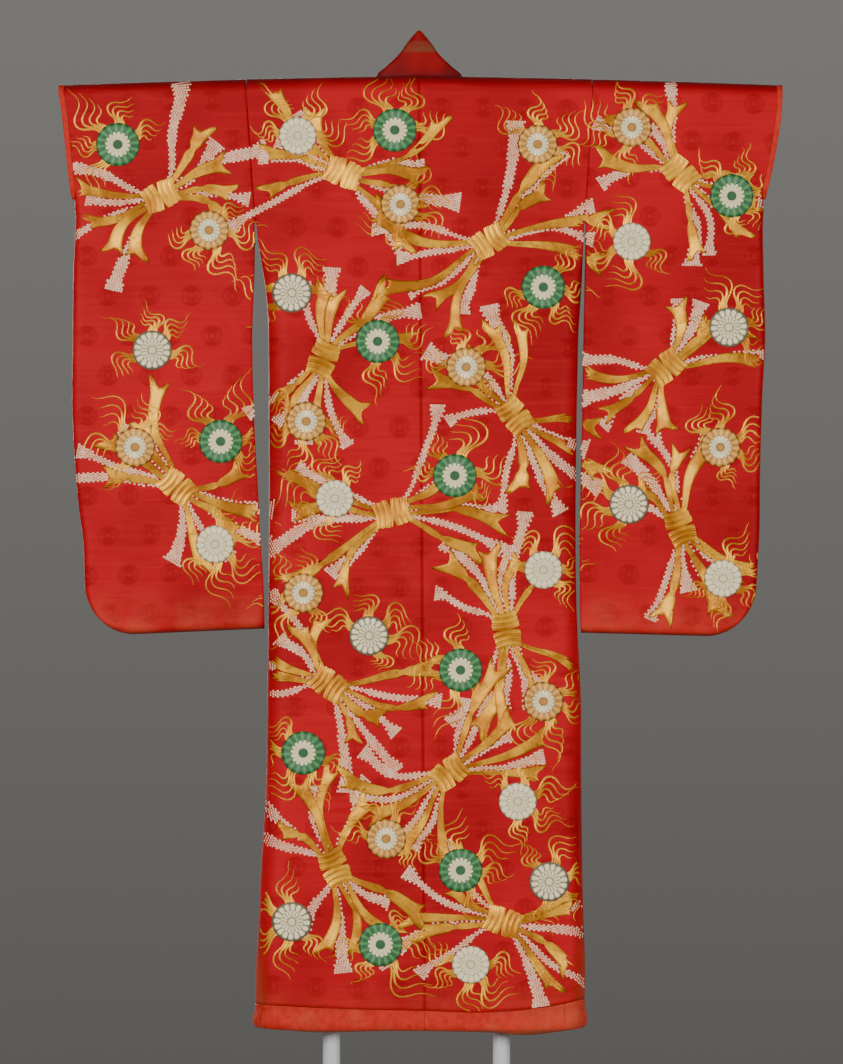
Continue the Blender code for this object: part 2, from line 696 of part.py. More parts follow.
def post(side):
    """A round post from the base plate to the underside of the bar."""
    x = POST_PLACES[side]
    foot = PLATE_SIZE[2] + SEAM_GAP
    head = bar_height(abs(x) + POST_RADIUS) - BAR_RADIUS - SEAM_GAP
    builder = bmesh.new()
    bmesh.ops.create_cone(
        builder, cap_ends=True, segments=ROUND_STEPS, radius1=POST_RADIUS, radius2=POST_RADIUS,
        depth=head - foot,
    )
    item = new_object(f"post_{side}", builder, STAND_PAINT, PAINT_ROUGHNESS)
    item.location = (x, 0.0, (head + foot) / 2)
    return item


def base_plate():
    """The flat plate that the two posts stand on."""
    width, depth, thickness = PLATE_SIZE
    builder = bmesh.new()
    bmesh.ops.create_cube(builder, size=1.0)
    bmesh.ops.scale(builder, vec=PLATE_SIZE, verts=builder.verts)
    half = thickness / 2
    upright = [edge for edge in builder.edges if abs(edge.verts[0].co.z - edge.verts[1].co.z) > half]
    bmesh.ops.bevel(
        builder, geom=upright, offset=PLATE_CORNER, segments=6, profile=0.5, affect="EDGES", material=-1,
    )
    item = new_object("base_plate", builder, STAND_PAINT, PAINT_ROUGHNESS)
    item.location = (0.0, 0.0, thickness / 2)
    return item


for old in list(bpy.data.objects):
    bpy.data.objects.remove(old, do_unlink=True)

collar()
crossbar()
base_plate()
for name in SIDES:
    body_panel(name)
    overlap_panel(name)
    sleeve_layer(name, "back")
    sleeve_layer(name, "front")
    cuff_lining(name)
    hem_rolls(name)
    post(name)
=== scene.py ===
import math
import random
from collections import namedtuple

import bmesh
import bpy
import numpy as np
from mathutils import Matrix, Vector
from mathutils.bvhtree import BVHTree


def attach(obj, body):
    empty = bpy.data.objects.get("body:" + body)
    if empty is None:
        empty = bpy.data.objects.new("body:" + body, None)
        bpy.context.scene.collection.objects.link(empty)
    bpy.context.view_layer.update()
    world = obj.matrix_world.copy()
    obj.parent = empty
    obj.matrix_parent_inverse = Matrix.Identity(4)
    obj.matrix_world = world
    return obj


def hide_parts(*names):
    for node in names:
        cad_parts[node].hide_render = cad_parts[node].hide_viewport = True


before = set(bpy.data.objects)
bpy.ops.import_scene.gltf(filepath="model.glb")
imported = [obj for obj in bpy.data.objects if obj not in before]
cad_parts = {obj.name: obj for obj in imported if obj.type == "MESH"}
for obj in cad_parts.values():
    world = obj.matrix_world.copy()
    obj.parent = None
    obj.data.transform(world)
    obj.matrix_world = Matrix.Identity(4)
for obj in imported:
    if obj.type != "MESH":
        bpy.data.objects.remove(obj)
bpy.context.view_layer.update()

# The studio
# The robe stands on a round grey floor before a plain grey that darkens downward. Two large soft lights
# stand in front of it and one behind. The camera looks straight at its back from so far away that its
# outline has almost no perspective.

PHOTO_PIXEL = 0.00175
PHOTO_SIZE = (843, 1064)
VIEW_MIDDLE = (0.00175, 1.0115)
ROBE_BACK = -0.030
CAMERA_AWAY = 24.0
SENSOR = 36.0
BACKGROUND_LOW = (0.105, 0.101, 0.095)
BACKGROUND_HIGH = (0.202, 0.195, 0.183)
BACKGROUND_SPREAD = 0.045
FLOOR_RADIUS = 1.9
FLOOR_TONE = (0.170, 0.165, 0.155, 1.0)
FLOOR_ROUGHNESS = 0.9

camera_data = bpy.data.cameras.new("camera")
camera_data.sensor_width = SENSOR
camera_data.lens = SENSOR * CAMERA_AWAY / (PHOTO_SIZE[1] * PHOTO_PIXEL)
camera_data.clip_end = 60.0
camera = bpy.data.objects.new("camera", camera_data)
camera.location = (VIEW_MIDDLE[0], ROBE_BACK - CAMERA_AWAY, VIEW_MIDDLE[1])
camera.rotation_euler = (math.radians(90), 0.0, 0.0)
bpy.context.scene.collection.objects.link(camera)
bpy.context.scene.camera = camera


def soft_light(name, place, aim, size, power):
    lamp = bpy.data.lights.new(name, "AREA")
    lamp.shape = "RECTANGLE"
    lamp.size, lamp.size_y = size
    lamp.energy = power
    item = bpy.data.objects.new(name, lamp)
    item.location = place
    item.rotation_euler = (Vector(aim) - Vector(place)).to_track_quat("-Z", "Y").to_euler()
    bpy.context.scene.collection.objects.link(item)


soft_light("key_light", (-2.6, -4.2, 1.8), (0.0, 0.0, 1.0), (2.0, 2.0), 210)
soft_light("fill_light", (3.2, -4.0, 1.4), (0.0, 0.0, 0.9), (2.0, 2.0), 160)
soft_light("back_light", (-0.8, 4.4, 1.9), (0.0, 0.2, 1.0), (3.0, 2.0), 290)

world = bpy.data.worlds.new("studio")
world.use_nodes = True
tree = world.node_tree
direction = tree.nodes.new("ShaderNodeTexCoord")
split = tree.nodes.new("ShaderNodeSeparateXYZ")
rise = tree.nodes.new("ShaderNodeMapRange")
rise.inputs["From Min"].default_value = -BACKGROUND_SPREAD
rise.inputs["From Max"].default_value = BACKGROUND_SPREAD
grey = tree.nodes.new("ShaderNodeMix")
grey.data_type = "RGBA"
grey.inputs[6].default_value = (*BACKGROUND_LOW, 1.0)
grey.inputs[7].default_value = (*BACKGROUND_HIGH, 1.0)
tree.links.new(direction.outputs["Generated"], split.inputs[0])
tree.links.new(split.outputs["Z"], rise.inputs["Value"])
tree.links.new(rise.outputs["Result"], grey.inputs[0])
tree.links.new(grey.outputs[2], tree.nodes["Background"].inputs["Color"])
bpy.context.scene.world = world

floor_shape = bmesh.new()
bmesh.ops.create_circle(floor_shape, cap_ends=True, segments=96, radius=FLOOR_RADIUS)
floor_mesh = bpy.data.meshes.new("floor")
floor_shape.to_mesh(floor_mesh)
floor_shape.free()
floor = bpy.data.objects.new("floor", floor_mesh)
bpy.context.scene.collection.objects.link(floor)
floor_paint = bpy.data.materials.new("floor_paint")
floor_paint.use_nodes = True
floor_shader = floor_paint.node_tree.nodes["Principled BSDF"]
floor_shader.inputs["Base Color"].default_value = FLOOR_TONE
floor_shader.inputs["Roughness"].default_value = FLOOR_ROUGHNESS
floor_mesh.materials.append(floor_paint)

# The body panels
# Each is one length of red figured silk, padded and lined, that runs from the back hem over the shoulder bar
# to the front hem. The two are sewn together down the centre back, and each one to itself along its side.

CLOTH = 0.0018
SEAM_GAP = 0.0001
SEWN_WITHIN = 0.00002
SHOULDER_HEIGHT = 1.810
SHOULDER_FALL = 0.0158
SHOULDER_BEND = 1.45
HALF_SPAN = 0.634
FOLD_RADIUS = 0.0226
SIDE_ROUNDING = 0.036
ARMHOLE_BOTTOM = 1.552
SIDE_SEAM_TOP = 1.410
CENTRE_TOP = -0.0026
CENTRE_HEM = 0.0079
NECK_HALF_WIDTH = 0.0865
NECK_BACK = 0.001
NECK_START = math.asin(NECK_BACK / FOLD_RADIUS) + 1e-6
FRONT_PANEL_INNER = 0.045
FRONT_EDGE = -0.100
COLLAR_END_HEIGHT = 0.950
OVERLAP_TIP_HEIGHT = 1.565
LAP_TOP = 0.012
LAP_HEM = 0.014
LAP_STARTS = (1.77, 0.90)
LAP_RUNS = (0.15, 0.70)
LAP_EDGE = 0.26
LAP_EASE = 0.14
HELD_RUN = 0.05
HEM_LEVEL = 0.180
HEM_WAVE_REACH = 0.600
ARCH_START = 1.500

SIDES = {"left": -1, "right": 1}

BodyRow = namedtuple("BodyRow", "height left right half_depth")
BODY_ROWS = (
    BodyRow(1.800, 0.3055, 0.3010, FOLD_RADIUS),
    BodyRow(1.720, 0.3000, 0.2965, 0.0232),
    BodyRow(1.555, 0.2880, 0.2870, 0.0258),
    BodyRow(1.420, 0.2700, 0.2810, 0.0290),
    BodyRow(1.350, 0.2670, 0.2770, 0.0310),
    BodyRow(1.060, 0.2660, 0.2725, 0.0370),
    BodyRow(0.880, 0.2670, 0.2740, 0.0410),
    BodyRow(0.720, 0.2690, 0.2815, 0.0440),
    BodyRow(0.560, 0.2710, 0.2820, 0.0470),
    BodyRow(0.410, 0.2800, 0.2835, 0.0490),
    BodyRow(0.310, 0.2840, 0.2860, 0.0500),
    BodyRow(0.240, 0.2885, 0.2885, 0.0510),
    BodyRow(0.130, 0.2900, 0.2870, 0.0520),
)
HemRow = namedtuple("HemRow", "place height")
CLOTH_EDGE_ROWS = (
    HemRow(-0.300, 0.1870),
    HemRow(-0.276, 0.1855),
    HemRow(-0.141, 0.1785),
    HemRow(0.006, 0.1750),
    HemRow(0.120, 0.1722),
    HemRow(0.223, 0.1820),
    HemRow(0.283, 0.1940),
    HemRow(0.300, 0.1960),
)
Flute = namedtuple("Flute", "place top width depth")
FLUTES = (
    Flute(-0.215, 0.95, 0.040, 0.0050),
    Flute(-0.110, 0.70, 0.052, -0.0040),
    Flute(0.045, 0.85, 0.060, 0.0030),
    Flute(0.185, 0.78, 0.038, 0.0060),
    Flute(0.240, 0.60, 0.026, -0.0035),
)
SeamRow = namedtuple("SeamRow", "height left right")
SEAM_ROWS = (SeamRow(0.60, 90.0, 90.0), SeamRow(0.50, 62.0, 76.0), SeamRow(0.15, 42.0, 62.0))


def smooth(share):
    share = np.clip(share, 0.0, 1.0)
    return share * share * (3.0 - 2.0 * share)


def mix(low, high, share):
    return low + (high - low) * share


def dip(depth, distance, width):
    """The trough beside a seam or a fold, at a distance from its middle."""
    return depth * np.exp(-((distance / width) ** 2))


def read(rows, column, at, key="height"):
    """A column's value at places between a table's rows, on a smooth line through them."""
    ordered = sorted(rows, key=lambda row: getattr(row, key))
    places = np.array([getattr(row, key) for row in ordered])
    values = np.array([getattr(row, column) for row in ordered])
    slopes = np.empty(len(places))
    slopes[1:-1] = (values[2:] - values[:-2]) / (places[2:] - places[:-2])
    slopes[0] = (values[1] - values[0]) / (places[1] - places[0])
    slopes[-1] = (values[-1] - values[-2]) / (places[-1] - places[-2])
    at = np.clip(at, places[0], places[-1])
    step = np.clip(np.searchsorted(places, at) - 1, 0, len(places) - 2)
    run = places[step + 1] - places[step]
    share = (at - places[step]) / run
    rise = values[step + 1] - values[step]
    first = slopes[step] * run
    last = slopes[step + 1] * run
    bend = 3 * rise - 2 * first - last
    return values[step] + share * (first + share * (bend + share * (first + last - 2 * rise)))


def bar_height(x):
    return SHOULDER_HEIGHT - SHOULDER_FALL * (np.abs(x) / HALF_SPAN) ** SHOULDER_BEND - FOLD_RADIUS


BAR_MIDDLE = float(bar_height(0.0))


def cloth_height(x, height):
    """The real height of a row of cloth, which follows the hem's wave low down and the bar's arch high up."""
    hem = read(CLOTH_EDGE_ROWS, "height", x, "place") - HEM_LEVEL
    fall = bar_height(x) - BAR_MIDDLE
    arched = smooth((height - ARCH_START) / (BAR_MIDDLE - ARCH_START))
    return height + hem * (1.0 - smooth((height - HEM_LEVEL) / HEM_WAVE_REACH)) + fall * arched


def centre_seam(height):
    return mix(CENTRE_HEM, CENTRE_TOP, height / SHOULDER_HEIGHT)


def layer_depth(x, height):
    """How far the cloth stands from the robe's middle plane, with the soft upright flutes above the hem."""
    depth = read(BODY_ROWS, "half_depth", height)
    for flute in FLUTES:
        share = smooth((flute.top - height) / (flute.top - HEM_LEVEL))
        depth = depth + dip(flute.depth, x - flute.place, flute.width) * share
    return depth


def front_lift(side, across, height):
    """How far the left front, which laps over the right one, stands out from it."""
    if side == "right":
        return 0.0
    upper, lower = (smooth((start - height) / run) for start, run in zip(LAP_STARTS, LAP_RUNS))
    return (LAP_TOP * upper + LAP_HEM * lower) * smooth((LAP_EDGE - across) / LAP_EASE)


def front_depth(side, across, height):
    return layer_depth(SIDES[side] * across, height) + front_lift(side, across, height)


def collar_seam(height):
    """How far from the middle, on its own side, a front's collar seam lies."""
    share = (BAR_MIDDLE - height) / (BAR_MIDDLE - COLLAR_END_HEIGHT)
    return mix(NECK_HALF_WIDTH, FRONT_EDGE, np.clip(share, 0.0, 1.0))


def neckline(turn):
    """The neckline's distance from the middle at a turn over the shoulder fold."""
    share = (FOLD_RADIUS * np.sin(turn) - NECK_BACK) / (FOLD_RADIUS - NECK_BACK)
    reach = NECK_HALF_WIDTH * np.sqrt(np.clip(1.0 - (1.0 - np.clip(share, 0.0, 1.0)) ** 2, 0.0, 1.0))
    return np.where(share > 0.0, reach + SEAM_GAP, 0.0)


# The creases are soft: short level ones from folding, longer slack ones under the shoulders and at the sides.
Crease = namedtuple("Crease", "x z half_length slope width depth")
BACK_CREASES = (
    Crease(-0.205, 1.735, 0.085, -6, 0.007, -0.0012),
    Crease(-0.060, 1.722, 0.060, 4, 0.006, -0.0010),
    Crease(0.095, 1.728, 0.080, 3, 0.007, -0.0013),
    Crease(0.235, 1.715, 0.050, -9, 0.008, 0.0010),
    Crease(-0.255, 1.600, 0.060, 62, 0.010, -0.0018),
    Crease(0.262, 1.585, 0.070, -66, 0.010, -0.0018),
    Crease(-0.235, 1.475, 0.085, 72, 0.013, -0.0022),
    Crease(0.248, 1.455, 0.080, -74, 0.013, -0.0020),
    Crease(-0.120, 1.560, 0.055, -12, 0.008, -0.0009),
    Crease(0.060, 1.410, 0.070, 9, 0.010, 0.0010),
    Crease(-0.170, 1.330, 0.050, 14, 0.007, -0.0009),
    Crease(0.190, 1.270, 0.060, -5, 0.008, -0.0010),
    Crease(-0.040, 1.180, 0.045, -16, 0.007, -0.0008),
    Crease(0.120, 1.060, 0.070, 6, 0.009, 0.0010),
    Crease(-0.200, 1.020, 0.045, 3, 0.006, -0.0011),
    Crease(-0.090, 0.905, 0.060, -8, 0.009, -0.0009),
    Crease(0.215, 0.890, 0.035, 12, 0.006, -0.0012),
    Crease(0.030, 0.770, 0.055, 5, 0.008, -0.0009),
    Crease(-0.225, 0.715, 0.040, -4, 0.007, -0.0012),
    Crease(0.165, 0.660, 0.060, -7, 0.009, 0.0010),
    Crease(-0.110, 0.560, 0.070, 4, 0.008, -0.0010),
    Crease(0.075, 0.480, 0.050, -10, 0.007, -0.0010),
    Crease(-0.205, 0.400, 0.055, 8, 0.006, -0.0012),
    Crease(0.205, 0.345, 0.050, -3, 0.006, -0.0012),
    Crease(-0.060, 0.300, 0.075, 2, 0.006, -0.0011),
    Crease(0.110, 0.262, 0.060, 5, 0.005, -0.0011),
    Crease(-0.215, 0.250, 0.050, -6, 0.005, -0.0013),
    Crease(-0.130, 0.222, 0.090, -2, 0.004, -0.0012),
    Crease(0.215, 0.238, 0.045, 4, 0.005, -0.0012),
    Crease(-0.250, 1.180, 0.110, 88, 0.012, -0.0020),
    Crease(0.256, 1.090, 0.120, -87, 0.012, -0.0020),
    Crease(-0.246, 0.620, 0.120, 86, 0.012, -0.0018),
    Crease(0.262, 0.600, 0.110, -88, 0.012, -0.0016),
)


CREASE_BOW = 0.12


def crease_relief(creases, x, z):
    """The creases' troughs and ridges, with soft ends and a shallow shoulder on either side."""
    relief = np.zeros_like(x)
    for crease in creases:
        turn = math.radians(crease.slope)
        along = (x - crease.x) * math.cos(turn) + (z - crease.z) * math.sin(turn)
        beside = (z - crease.z) * math.cos(turn) - (x - crease.x) * math.sin(turn)
        beside = beside - CREASE_BOW * crease.half_length * (along / crease.half_length) ** 2
        ends = smooth(1.25 - np.abs(along) / crease.half_length)
        shape = (beside / crease.width) ** 2
        relief = relief + crease.depth * ends * (1.0 - 0.5 * shape) * np.exp(-shape)
    return relief


SLACK_SWELL = 0.0014
SLACK_MIDDLE = 0.0006
SLACK_FINE = 0.00022


def slack_relief(x, z, layer):
    """The uneven hang of padded silk: broad slow swells and a little fine unevenness."""
    swell = np.sin(7.3 * x + 2.1 * z + 1.7 * layer) * np.sin(3.9 * z - 1.3 * x + 0.6 * layer)
    middle = np.sin(31.0 * x + 6.0 * np.sin(4.0 * z) + layer) * np.sin(12.5 * z + 3.0 * np.sin(9.0 * x))
    fine = np.sin(74.0 * x + 5.0 * np.sin(17.0 * z)) * np.sin(61.0 * z + 4.0 * np.sin(23.0 * x + layer))
    return SLACK_SWELL * swell + SLACK_MIDDLE * middle + SLACK_FINE * fine


def panel_mesh(columns, rows, surface):
    """A grid of cloth set on a surface of (across, along) shares, its flat cut kept as a UV map in metres."""
    builder = bmesh.new()
    bmesh.ops.create_grid(builder, x_segments=columns, y_segments=rows, size=1.0)
    builder.verts.ensure_lookup_table()
    shares = np.array([(vert.co.x, vert.co.y) for vert in builder.verts]) / 2.0 + 0.5
    points, flat = surface(shares[:, 0], shares[:, 1])
    grain = builder.loops.layers.uv.new("cloth")
    for vert, point in zip(builder.verts, points):
        vert.co = point
    for face in builder.faces:
        for loop in face.loops:
            loop[grain].uv = flat[loop.vert.index]
    return builder


def riding_piece(name, mesh, material):
    """Puts a mesh on the robe's one body, in its material."""
    item = bpy.data.objects.new(name, mesh)
    bpy.context.scene.collection.objects.link(item)
    mesh.materials.append(material)
    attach(item, "root")
    return item


def finished_piece(name, builder, material, thickness=0.0):
    """Turns a worked shape into a smooth piece, with a wall under its surface where it has a thickness."""
    mesh = bpy.data.meshes.new(name)
    builder.to_mesh(mesh)
    builder.free()
    mesh.shade_smooth()
    item = riding_piece(name, mesh, material)
    if thickness:
        wall = item.modifiers.new("Thickness", "SOLIDIFY")
        wall.thickness = thickness
        wall.offset = -1
    return item


def cloth_piece(name, builder, thickness, turned, material):
    """Sews a panel's meeting edges, turns it the right way out and gives it its thickness."""
    bmesh.ops.remove_doubles(builder, verts=builder.verts, dist=SEWN_WITHIN)
    if turned:
        bmesh.ops.reverse_faces(builder, faces=builder.faces)
    return finished_piece(name, builder, material, thickness)


class Dye:
    """A number that changes over a surface: what is done to it adds Math nodes to its material."""

    def __init__(self, recipe, socket):
        self.recipe = recipe
        self.socket = socket

    def math(self, operation, *others):
        inputs = {0: self, **{number + 1: other for number, other in enumerate(others)}}
        return self.recipe.node("ShaderNodeMath", {"operation": operation}, inputs)

    def __add__(self, other):
        return self.math("ADD", other)

    def __sub__(self, other):
        return self.math("SUBTRACT", other)

    def __mul__(self, other):
        return self.math("MULTIPLY", other)

    def __truediv__(self, other):
        return self.math("DIVIDE", other)

    def __rsub__(self, other):
        return self.math("MULTIPLY", -1.0).math("ADD", other)

    def __abs__(self):
        return self.math("ABSOLUTE")

    __radd__ = __add__
    __rmul__ = __mul__

    def step(self, low, high):
        """0 below low and 1 above high, with a soft edge; the other way round where low is the higher."""
        turned = low > high
        inputs = {"Value": self, "From Min": min(low, high), "From Max": max(low, high)}
        inputs["To Min"] = 1.0 if turned else 0.0
        inputs["To Max"] = 0.0 if turned else 1.0
        return self.recipe.node("ShaderNodeMapRange", {"interpolation_type": "SMOOTHSTEP"}, inputs)


class Recipe:
    """A material, its Principled shader and the nodes that feed it."""

    def __init__(self, name, constants):
        self.material = bpy.data.materials.new(name)
        self.material.use_nodes = True
        self.tree = self.material.node_tree
        self.shader = self.tree.nodes["Principled BSDF"]
        for socket, value in constants.items():
            self.shader.inputs[socket].default_value = value

    def link(self, socket, value):
        if isinstance(value, Dye):
            self.tree.links.new(value.socket, socket)
        else:
            socket.default_value = value

    def node(self, kind, settings=None, inputs=None, output=0):
        node = self.tree.nodes.new(kind)
        for key, value in (settings or {}).items():
            if key == "stops":
                for number, (place, tone) in enumerate(value):
                    ramp = node.color_ramp.elements
                    stop = ramp[number] if number < len(ramp) else ramp.new(place)
                    stop.position = place
                    stop.color = (*tone, 1.0)
            else:
                setattr(node, key, value)
        for key, value in (inputs or {}).items():
            self.link(node.inputs[key], value)
        return Dye(self, node.outputs[output])

    def parts(self, place):
        """The three numbers of a place."""
        first = self.node("ShaderNodeSeparateXYZ", inputs={0: place})
        second, third = (Dye(self, first.socket.node.outputs[number]) for number in (1, 2))
        return first, second, third

    def uv(self, name):
        """The two numbers of a UV map."""
        across, along, _ = self.parts(self.node("ShaderNodeUVMap", {"uv_map": name}))
        return across, along

    def spot(self):
        """A place on the robe, in metres."""
        return self.node("ShaderNodeTexCoord", output=3)

    def noise(self, where, scale, detail=3.0, roughness=0.5):
        inputs = {"Vector": where, "Scale": scale, "Detail": detail, "Roughness": roughness}
        return self.node("ShaderNodeTexNoise", inputs=inputs)

    def blend(self, share, low, high):
        settings = {"data_type": "RGBA"}
        low, high = ((*tone, 1.0) if isinstance(tone, tuple) else tone for tone in (low, high))
        return self.node("ShaderNodeMix", settings, {0: share, 6: low, 7: high}, output=2)

    def bump(self, height, strength):
        inputs = {"Height": height, "Distance": 1.0, "Strength": strength}
        return self.node("ShaderNodeBump", inputs=inputs)

    def finish(self, color, roughness=None, normal=None, metallic=None):
        self.link(self.shader.inputs["Base Color"], color)
        for socket, value in (("Roughness", roughness), ("Normal", normal), ("Metallic", metallic)):
            if value is not None:
                self.link(self.shader.inputs[socket], value)
        return self.material


# The red silk's figure is a common small roundel, woven tone on tone in staggered rows.
ROUNDEL_ACROSS = 0.0730
ROUNDEL_ALONG = 0.0700
ROUNDEL_RADIUS = 0.0200
TWILL = 2 * math.pi / 0.0038


def red_silk():
    tint = (1.0, 0.35, 0.30, 1.0)
    recipe = Recipe("red_damask_silk", {"Sheen Weight": 0.03, "Sheen Tint": tint, "Specular IOR Level": 0.09})
    across, along = recipe.uv("cloth")
    spot = recipe.spot()
    across = across / ROUNDEL_ACROSS
    along = along / ROUNDEL_ALONG
    row = along.math("FLOOR")
    shift = (row * 0.5).math("FRACT")
    local_across = ((across + shift).math("FRACT") - 0.5) * ROUNDEL_ACROSS
    local_along = (along.math("FRACT") - 0.5) * ROUNDEL_ALONG
    radius = (local_across * local_across + local_along * local_along).math("SQRT") / ROUNDEL_RADIUS
    turn = local_along.math("ARCTAN2", local_across)
    inside = radius.step(1.02, 0.97)
    outer_ring = abs(radius - 0.93).step(0.055, 0.020)
    inner_ring = abs(radius - 0.76).step(0.045, 0.015)
    sideways = (abs(local_across) - abs(local_along)).step(-0.0005, 0.0008)
    crescent = abs(radius - 0.52).step(0.20, 0.13) * sideways
    rays = (turn * 22.0).math("SINE").step(-0.2, 0.5)
    heart = radius.step(0.24, 0.18)
    light_weave = crescent * rays + outer_ring * 0.75 + inner_ring * sideways * 0.8 + heart * 0.5
    light_weave = light_weave.math("MINIMUM", 1.0)
    dark_weave = inside * (1.0 - light_weave)
    broad = recipe.noise(spot, 3.2, 2.0)
    wear = recipe.noise(spot, 17.0, 4.0, 0.6)
    tone = recipe.blend(broad.step(0.35, 0.65), (0.330, 0.0018, 0.0065), (0.490, 0.0034, 0.0100))
    twill = ((across * ROUNDEL_ACROSS + along * ROUNDEL_ALONG) * TWILL).math("SINE")
    tone = recipe.blend(twill.step(-0.2, 0.9) * 0.16, tone, (0.250, 0.0020, 0.0050))
    tone = recipe.blend(dark_weave * 0.50, tone, (0.250, 0.0015, 0.0045))
    tone = recipe.blend(light_weave * 0.28, tone, (0.520, 0.0120, 0.0160))
    tone = recipe.blend(wear.step(0.56, 0.80) * 0.20, tone, (0.520, 0.0300, 0.0180))
    sideways_place, _, height = recipe.parts(spot)
    sleeve_end = height.step(0.93, 0.83) * abs(sideways_place).step(0.272, 0.292)
    # Painted shade: a band darker towards the top of the shoulder fold, where the cloth turns away from the
    # lights.
    painted_shoulder_shade = (height + abs(sideways_place) * 0.022).step(1.782, 1.814)
    tone = recipe.blend(painted_shoulder_shade * 0.80, tone, (0.100, 0.0006, 0.0015))
    faded = (sleeve_end * 0.55 + height.step(0.23, 0.17) * 0.25) * wear.step(0.25, 0.75)
    tone = recipe.blend(faded, tone, (0.560, 0.0700, 0.0330))
    weft = recipe.node("ShaderNodeMapping", inputs={"Vector": spot, "Scale": (9.0, 9.0, 150.0)})
    streak = recipe.noise(weft, 1.0, 3.0, 0.6)
    tone = recipe.blend(streak.step(0.50, 0.72) * 0.16, tone, (0.620, 0.0200, 0.0200))
    tone = recipe.blend(streak.step(0.46, 0.30) * 0.22, tone, (0.230, 0.0012, 0.0035))
    corner = height.step(0.36, 0.20) * abs(sideways_place).step(0.262, 0.288)
    tone = recipe.blend(corner * (0.25 + wear * 0.5), tone, (0.380, 0.0680, 0.0260))
    slub = recipe.noise(spot, 240.0, 2.0)
    pucker = recipe.noise(spot, 34.0, 4.0)
    relief = twill * 0.00008 + slub * 0.00022 + streak * 0.0005 + pucker * 0.0024
    relief = relief + (dark_weave - light_weave) * 0.00012
    gloss = 0.56 + dark_weave * 0.10 - light_weave * 0.06
    return recipe.finish(tone, gloss, recipe.bump(relief, 0.55))


silk = red_silk()

BACK_LENGTH = BAR_MIDDLE - HEM_LEVEL
FOLD_LENGTH = math.pi * FOLD_RADIUS
LAYER_ROWS = 245
FOLD_ROWS = 12
BODY_COLUMNS = 46
CORNER_SHARE = 0.74
CORNER_LENGTH = 0.045
CENTRE_DIP = 0.0008
CENTRE_DIP_WIDTH = 0.0025
SIDE_DIP = 0.0012
SIDE_DIP_WIDTH = 0.004


def along_cloth(share, layer_length, layer_rows, lowest):
    """A row's layer (-1 back, 1 front), its level, its turn over the bar and its place along the cloth."""
    fold_end = layer_length + FOLD_LENGTH
    rows = 2 * layer_rows + FOLD_ROWS
    stops = (0, layer_rows, layer_rows + FOLD_ROWS, rows)
    run = np.interp(share * rows, stops, (0.0, layer_length, fold_end, layer_length + fold_end))
    turn = np.clip((run - layer_length) / FOLD_RADIUS, 0.0, math.pi) - math.pi / 2
    layer = np.where(run < layer_length + 1e-6, -1.0, 1.0)
    on_fold = (run > layer_length + 1e-6) & (run < fold_end - 1e-6)
    level = np.where(layer < 0, lowest + run, lowest + layer_length + fold_end - run)
    return layer, np.where(on_fold, BAR_MIDDLE, level), turn, on_fold, run


def body_surface(side):
    sign = SIDES[side]

    def surface(across_share, along_share):
        layer, level, turn, on_fold, run = along_cloth(along_share, BACK_LENGTH, LAYER_ROWS, HEM_LEVEL)
        inner_back = sign * centre_seam(level) + SEAM_GAP / 2
        inner_front = np.where(level > OVERLAP_TIP_HEIGHT, collar_seam(level), FRONT_PANEL_INNER)
        inner_front = inner_front + SEAM_GAP / 2
        inner = np.where(layer < 0, inner_back, inner_front)
        inner = np.where(on_fold, inner_back, inner)
        inner = np.where(on_fold & (turn > NECK_START), np.maximum(inner, neckline(turn)), inner)
        outer = read(BODY_ROWS, side, level)
        corner = outer - SIDE_ROUNDING
        bend = np.clip((across_share - CORNER_SHARE) / (1.0 - CORNER_SHARE), 0.0, 1.0) * math.pi / 2
        closure = smooth((ARMHOLE_BOTTOM - level) / (ARMHOLE_BOTTOM - SIDE_SEAM_TOP))
        flat = mix(inner, corner, np.clip(across_share / CORNER_SHARE, 0.0, 1.0))
        across = flat + SIDE_ROUNDING * np.sin(bend)
        x = sign * across
        z = cloth_height(x, level)
        depth = np.where(layer < 0, layer_depth(x, level), front_depth(side, across, level))
        facing = np.maximum(np.cos(bend), 0.0)
        share = 1.0 - closure * (1.0 - facing)
        relief = crease_relief(BACK_CREASES, np.where(layer < 0, x, -x), z) + slack_relief(x, z, layer)
        held = smooth((BAR_MIDDLE - level) / HELD_RUN) * facing
        seam_dip = dip(CENTRE_DIP, across - inner, CENTRE_DIP_WIDTH)
        angle = np.where(layer < 0, bend, math.pi - bend)
        from_seam = (angle - np.radians(read(SEAM_ROWS, side, level))) * SIDE_ROUNDING
        side_dip = dip(SIDE_DIP, from_seam, SIDE_DIP_WIDTH) * smooth((closure - 0.8) / 0.2)
        y = layer * (depth * share + relief * held - (seam_dip + side_dip) * facing)
        y = np.where((closure > 0.999) & (facing < 1e-6), 0.0, y)
        x = np.where(on_fold, x, x - sign * side_dip * np.sin(bend))
        y = np.where(on_fold, FOLD_RADIUS * np.sin(turn), y)
        z = np.where(on_fold, bar_height(x) + FOLD_RADIUS * np.cos(turn), z)
        grain = sign * (flat + CORNER_LENGTH * bend / (math.pi / 2))
        return np.column_stack((x, y, z)), np.column_stack((grain, run))

    return surface


for side in SIDES:
    builder = panel_mesh(BODY_COLUMNS, 2 * LAYER_ROWS + FOLD_ROWS, body_surface(side))
    piece = cloth_piece(f"robe_body_{side}", builder, CLOTH, side == "left", silk)
    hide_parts(f"body_{side}")

# The overlap panels
# Each widens a front of the same silk, from a narrow tip beside the collar down to the hem, and is sewn to
# the inner edge of its body panel.

OVERLAP_COLUMNS = 22
OVERLAP_ROWS = 210
OVERLAP_TOP = OVERLAP_TIP_HEIGHT - 0.0065
OVERLAP_DIP = 0.0011
OVERLAP_DIP_WIDTH = 0.003


